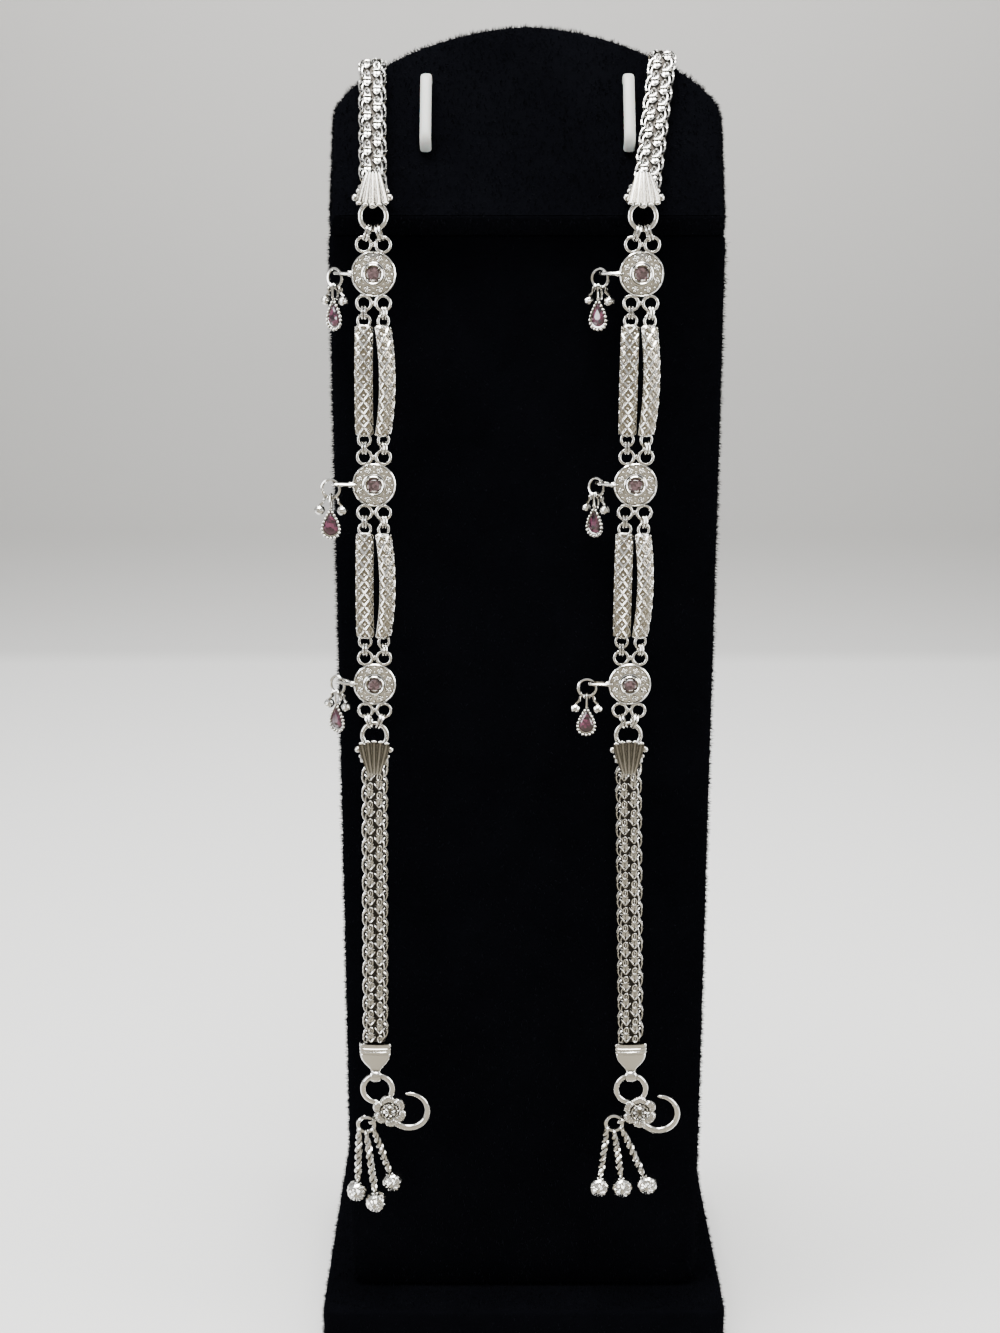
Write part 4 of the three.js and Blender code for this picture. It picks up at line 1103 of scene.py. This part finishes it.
def tasselShape(balls):
    # each strand hangs from its place on the ring to its ball; balls are places right, down and in front
    shape = newShape()
    addRing(shape, (0, 0, 0), (0, 1, 0), clasp["tasselRing"], clasp["tasselWire"], 32, 10)
    for index, (right, down, front) in enumerate(balls):
        angle = (index - 1) * tassel["fan"]
        root = Vector((math.sin(angle), 0, -math.cos(angle))) * clasp["tasselRing"]
        foot = Vector((right, -front, -down))
        way = (foot - root).normalized()
        first, second = acrossOf(way)
        end = foot - way * (tassel["ball"] + tassel["ballGap"])
        addRing(shape, root + way * 0.45, way.cross(Vector((0, 1, 0))), 0.72, 0.5, 18, 7)
        for strand in range(2):  # two wires twisted into a rope
            path = []
            for share in [k / 56 for k in range(57)]:
                full = min(1, share * 5, (1 - share) * 6 + 0.25)
                a = turn * (tassel["turns"] * share + strand / 2)
                swing = (first * math.cos(a) + second * math.sin(a)) * tassel["twist"] * full
                path.append(root + (end - root) * share + swing)
            addWire(shape, path, tassel["wire"], 7)
        addRing(shape, end + way * 0.1, way.cross(Vector((0, 1, 0))), 0.55, 0.4, 16, 7)
        addShape(shape, cutBallShape(), Matrix.Translation(foot) @ rotated(0.3 * (index - 1), "Y"))
        addRing(shape, foot - way * (tassel["ball"] - 0.25), way, 0.75, 0.3, 18, 6)
    return shape


# How each anklet hangs: x at the top edge and at the upper cap, its two stretches' leans, and turns in degrees
hanging = {
    "left": {
        "xTop": -30.2, "xCap": -29.4, "upperSlope": 0.0146, "lowerSlope": 0.0146, "barTurns": (0, 36),
        "loopTurns": (38, 6, 36), "claspTilt": 8,
        "balls": ((-2, 16, 0), (2.2, 17.4, 2), (5.6, 14.2, -1.2)),
    },
    "right": {
        "xTop": 26.6, "xCap": 21.9, "upperSlope": 0.0102, "lowerSlope": -0.025, "barTurns": (-6, 26),
        "loopTurns": (34, 40, 4), "claspTilt": 0,
        "balls": ((-3.5, 14.9, 0.3), (1.6, 14.9, 0.7), (7, 14.6, 0.3)),
    },
}
seat = {
    "gap": 0.3, "rimAbove": 0.8, "ring": 2.5, "ringWire": 1, "hangGap": 1.2, "overBend": 3, "chainTurn": 0.4,
    "barLink": 1.2, "barLinkWire": 0.5, "barLinkSpread": 0.27, "eyeRing": 2.6, "eyeRingWire": 1.2,
}


def upperPath(hang):
    # up the panel's face, over its edge and straight down behind
    out, bend = seat["gap"] + chain["thick"] / 2, seat["overBend"]
    edge = panelHeightAt(abs(hang["xTop"]) - chain["wide"] / 2) + out
    start = seat["rimAbove"] / math.cos(stand["lean"]) + shell["length"] + seat["gap"]

    def onFace(along):
        return onPanel(mix(hang["xCap"], hang["xTop"], along / edge), along, out)

    def rounded(a, b, c):
        return [a * (1 - s) ** 2 + b * 2 * s * (1 - s) + c * s ** 2 for s in [k / 10 for k in range(1, 11)]]

    corner, backCorner = onFace(edge), onPanel(hang["xTop"], edge, -stand["panelThick"] - out)
    over = (backCorner - corner).normalized()
    down = Vector((0, 0, -1))
    behind = chain["length"] - (edge - start) - (stand["panelThick"] + 2 * out)
    end = backCorner + down * behind
    points = [onFace(start + (edge - bend - start) * k / 10) for k in range(11)]
    points += rounded(onFace(edge - bend), corner, corner + over * bend)
    points += [backCorner - over * bend]
    points += rounded(backCorner - over * bend, backCorner, backCorner + down * bend)
    points += [mix(backCorner + down * bend, end, k / 6) for k in range(1, 7)]
    return points, end


def pathReader(points):
    # gives the place and the direction at a distance along the path, also a little before its start
    lengths = [0]
    for a, b in zip(points, points[1:]):
        lengths.append(lengths[-1] + (b - a).length)

    def at(s):
        if s < 0:
            first = (points[1] - points[0]).normalized()
            return points[0] + first * s, first
        s = min(s, lengths[-1] - 1e-4)
        i = max(k for k in range(len(points) - 1) if lengths[k] <= s)
        span = lengths[i + 1] - lengths[i]
        share = (s - lengths[i]) / max(span, 1e-6)
        return points[i].lerp(points[i + 1], share), (points[i + 1] - points[i]).normalized()

    return at, lengths[-1]


def hangingRow():
    # heights of what hangs from the upper ring, from link to link; z = 0 is the foot of that ring
    play, link, wire = linkLook["play"], linkLook["radius"], linkLook["wire"]
    upperLinks = (seat["ringWire"] + wire) / 2 + play - link
    first = upperLinks - link + (wire + disc["eyeWire"]) / 2 + play - disc["eyeRadius"] - disc["eyeOffset"]
    row = {"upperLinks": upperLinks, "medallions": [first], "bars": [], "barLinks": []}
    eyeToLink = (wire + disc["eyeWire"]) / 2 + play - seat["barLink"]
    barHalf, linkInset = bar["length"] / 2, (bar["eyeWire"] + wire) / 2
    linkToBar = seat["barLink"] - linkInset - play + bar["eyeRadius"] + bar["eyeOut"] + barHalf
    for _ in range(2):
        above = row["medallions"][-1] - disc["eyeOffset"] - disc["eyeRadius"] + eyeToLink
        below = above - 2 * linkToBar
        row["bars"].append(above - linkToBar)
        row["barLinks"] += [above, below]
        row["medallions"].append(below + eyeToLink - disc["eyeRadius"] - disc["eyeOffset"])
    lastEye = row["medallions"][2] - disc["eyeOffset"] - disc["eyeRadius"]
    row["lowerLinks"] = lastEye + (disc["eyeWire"] + wire) / 2 + play - link
    row["lowerRing"] = row["lowerLinks"] - link + (seat["ringWire"] + wire) / 2 + play - seat["ring"]
    return row


def makeChain(name, at, first, last):
    weaveShape, core = newShape(), newShape()
    addWeave(weaveShape, core, at, first, last)
    makePiece(name + "_weave", weaveShape, still, weaveSilver, [name])
    # the dark core under the weave stands in for the shade in its gaps
    makePiece(name + "_weave_core", core, still, weaveShadeCore)


def makeDrop(side, number, place, loopTurn):
    # a charm that hangs from the medallion's side loop, and the pear-shaped stone on its bail
    angle, sink, play = math.radians(loopTurn), disc["loopSink"], linkLook["play"]
    reach = disc["loopReach"] + sink
    drop = charm["radius"] - (charm["wire"] + disc["loopWire"]) / 2 - play
    hung = slide(sink - disc["radius"] - reach * math.cos(angle), reach * math.sin(angle), -drop)
    hung = place @ hung @ rotated(-angle, "Z")
    charmName, pearName = side + "_charm_" + number, side + "_pear_drop_" + number
    makePiece(charmName + "_beads", charmShape(), hung, silver, [charmName], 25)
    bail = hung @ slide(0, 0, (charm["wire"] + charm["bailWire"]) / 2 + play - charm["radius"])
    makePiece(pearName + "_setting", pearShape(), bail, silver, [pearName])
    makePiece(pearName + "_stone", pearStoneShape(), bail, plumStone, sharp=5)


def makeBars(side, hang, row, upper):
    jumpRings = newShape()
    for letter, sign, barTurn in (("a", -1, hang["barTurns"][0]), ("b", 1, hang["barTurns"][1])):
        for i, z in enumerate(row["bars"]):
            name = side + "_bar_" + str(i + 1) + "_" + letter
            place = upper @ slide(sign * disc["eyeSpread"], 0, z) @ rotated(math.radians(barTurn), "Z")
            makePiece(name + "_cast", barShape(), place, castSilver, [name], 50)
        axis = Matrix.Rotation(math.radians(barTurn * 0.4), 3, "Z") @ Vector((1, 0, 0))
        for z in row["barLinks"]:
            centre = (sign * disc["eyeSpread"], 0, z)
            addJumpRing(jumpRings, centre, axis, seat["barLink"], seat["barLinkWire"], seat["barLinkSpread"])
    makePiece(side + "_bar_jump_rings", jumpRings, upper, silver)


def makeAnklet(side, hang):
    shellCap, cap, pair, row = shellShape(), endCapShape(), linkPairShape(), hangingRow()
    bigRing, eyeRing = newShape(), newShape()
    addRing(bigRing, (0, 0, 0), (0, 1, 0), seat["ring"], seat["ringWire"], 40, 12)
    addRing(eyeRing, (0, 0, 0), (0, 1, 0), seat["eyeRing"], seat["eyeRingWire"], 40, 12)
    foldDown = endCap["length"] + endCap["foldRadius"]

    def makePart(name, node, shape, place, sharp=38):
        makePiece(side + "_" + name, shape, place, silver, [side + "_" + node], sharp)

    # the upper chain lies over the panel's edge, with the rear cap and the eye ring at its end behind
    points, rearEnd = upperPath(hang)
    reader, whole = pathReader(points)

    def upperAt(x, out, s):
        shifts = (-seat["chainTurn"], 0, seat["chainTurn"])
        near = [reader((s + shift) * whole / chain["length"]) for shift in shifts]
        along = (near[0][1] + near[1][1] + near[2][1]).normalized()
        front = -along.cross(Vector((1, 0, 0))).normalized()
        return near[1][0] + Vector((x, 0, 0)) + front * out

    makeChain(side + "_upper_chain", upperAt, -chain["tuck"], chain["length"])
    rear = Matrix.Translation(rearEnd)
    makePart("rear_end_cap_plate", "rear_end_cap", cap, rear @ slide(0, 0, -seat["gap"]))
    eyeDown = -seat["gap"] - foldDown - seat["eyeRing"]
    makePart("rear_eye_ring_wire", "rear_eye_ring", eyeRing, rear @ slide(0, 0, eyeDown))

    # the upper cap lies on the panel, and its ring leans down from it to the row that hangs straight
    rimOut = seat["gap"] + chain["thick"] / 2 + shell["wall"]
    rim = onPanel(hang["xCap"], seat["rimAbove"] / math.cos(stand["lean"]), rimOut)
    capPlace = Matrix.Translation(rim) @ rotated(-stand["lean"], "X") @ rotated(math.pi, "Y")
    makePart("upper_shell_fan", "upper_shell_cap", shellCap, capPlace)
    eye = rim + panelUp * shell["ringTuck"]
    hangY = panelFoot.y - seat["hangGap"]
    ringLean = math.asin((eye.y - hangY) / (2 * seat["ring"]))
    ringDrop = seat["ring"] * math.cos(ringLean)
    ringPlace = slide(hang["xCap"], (eye.y + hangY) / 2, eye.z - ringDrop) @ rotated(-ringLean, "X")
    makePart("upper_shell_ring_wire", "upper_shell_ring", bigRing, ringPlace)

    upper = slide(hang["xCap"], hangY, eye.z - 2 * ringDrop) @ rotated(math.asin(hang["upperSlope"]), "Y")
    makePart("upper_link_pair_wire", "upper_link_pair", pair, upper @ slide(0, 0, row["upperLinks"]))
    flipped = upper @ slide(0, 0, row["lowerLinks"]) @ rotated(math.pi, "Y")
    makePart("lower_link_pair_wire", "lower_link_pair", pair, flipped)
    for number, z, loopTurn in zip("123", row["medallions"], hang["loopTurns"]):
        place, name = upper @ slide(0, 0, z), side + "_medallion_" + number
        makePiece(name + "_cast", medallionShape(loopTurn), place, castSilver, [name])
        makePiece(name + "_stone", roundStoneShape(), place, mauveStone, sharp=5)
        makeDrop(side, number, place, loopTurn)
    makeBars(side, hang, row, upper)

    # the lower stretch leans by itself from its ring down
    slope = math.asin(hang["lowerSlope"]) - math.asin(hang["upperSlope"])
    lower = upper @ slide(0, 0, row["lowerRing"]) @ rotated(slope, "Y")
    makePart("lower_shell_ring_wire", "lower_shell_ring", bigRing, lower)
    lowerRim = shell["ringTuck"] - seat["ring"]
    makePart("lower_shell_fan", "lower_shell_cap", shellCap, lower @ slide(0, 0, lowerRim))
    chainTop = lowerRim - shell["length"] - seat["gap"]
    chainEnd = chainTop - chain["length"]

    def lowerAt(x, out, s):
        return lower @ Vector((x, -out, chainEnd + s))

    makeChain(side + "_lower_chain", lowerAt, 0, chain["length"] + chain["tuck"])
    makePart("front_end_cap_plate", "front_end_cap", cap, lower @ slide(0, 0, chainEnd - seat["gap"]))
    tilt = math.radians(hang["claspTilt"])
    foldPlace = lower @ slide(0, 0, chainEnd - seat["gap"] - foldDown) @ rotated(-tilt, "Y")
    makePart("clasp_flower", "clasp", claspShape(), foldPlace @ slide(0, 0, -clasp["ring"]))
    hangAt = besideFlower(claspEyeOut + clasp["tasselRing"]) + Vector((0, 0, -clasp["ring"]))
    tasselPlace = foldPlace @ Matrix.Translation(hangAt) @ rotated(tilt, "Y")
    makePart("tassel_ropes", "tassel", tasselShape(hang["balls"]), tasselPlace, 18)
    print(side, "anklet made")


for side, hang in hanging.items():
    makeAnklet(side, hang)


# Floor and backdrop in one sweep, and the dim cards in front of the stand

def makeBackdrop():
    back, bend, side, front = studio["wallBack"], studio["bend"], studio["sweepSide"], studio["sweepFront"]
    profile = [(-front, 0), (-front / 3, 0), (0, 0), (front / 3, 0), (back - bend, 0)]
    for k in range(1, 13):
        a = math.pi / 2 * k / 12
        profile.append((back - bend + bend * math.sin(a), bend - bend * math.cos(a)))
    profile += [(back, studio["sweepHigh"] / 3), (back, studio["sweepHigh"])]
    shape = newShape()
    rows = [[Vector((x, y, z)) for x in (-side, -side / 3, side / 3, side)] for y, z in profile]
    addRows(shape, rows, round=False)
    sweep = newObject("backdrop_sweep", shape, still, backdrop)
    sweep.data.polygons.foreach_set("use_smooth", [True] * len(sweep.data.polygons))


def makeCard(name, corners, finish):
    # a dim card in front of the stand, seen only in the silver's reflections
    shape = {"points": [Vector(p) for p in corners], "faces": [(0, 1, 2, 3)]}
    card = newObject(name, shape, still, finish)
    card.visible_camera = card.visible_diffuse = card.visible_shadow = False


def makeCards():
    finish = newFinish("dim card", studio["cardTone"], 0, 0.9)[0]
    x, near, far, high = studio["cardWide"] / 2, studio["cardFrom"], studio["cardTo"], studio["cardHigh"]
    makeCard("low_card", [(-x, far, 0.5), (x, far, 0.5), (x, near, 0.5), (-x, near, 0.5)], finish)
    makeCard("front_card", [(-x, far, 0), (x, far, 0), (x, far, high), (-x, far, high)], finish)


makeBackdrop()
makeCards()
print("backdrop made")
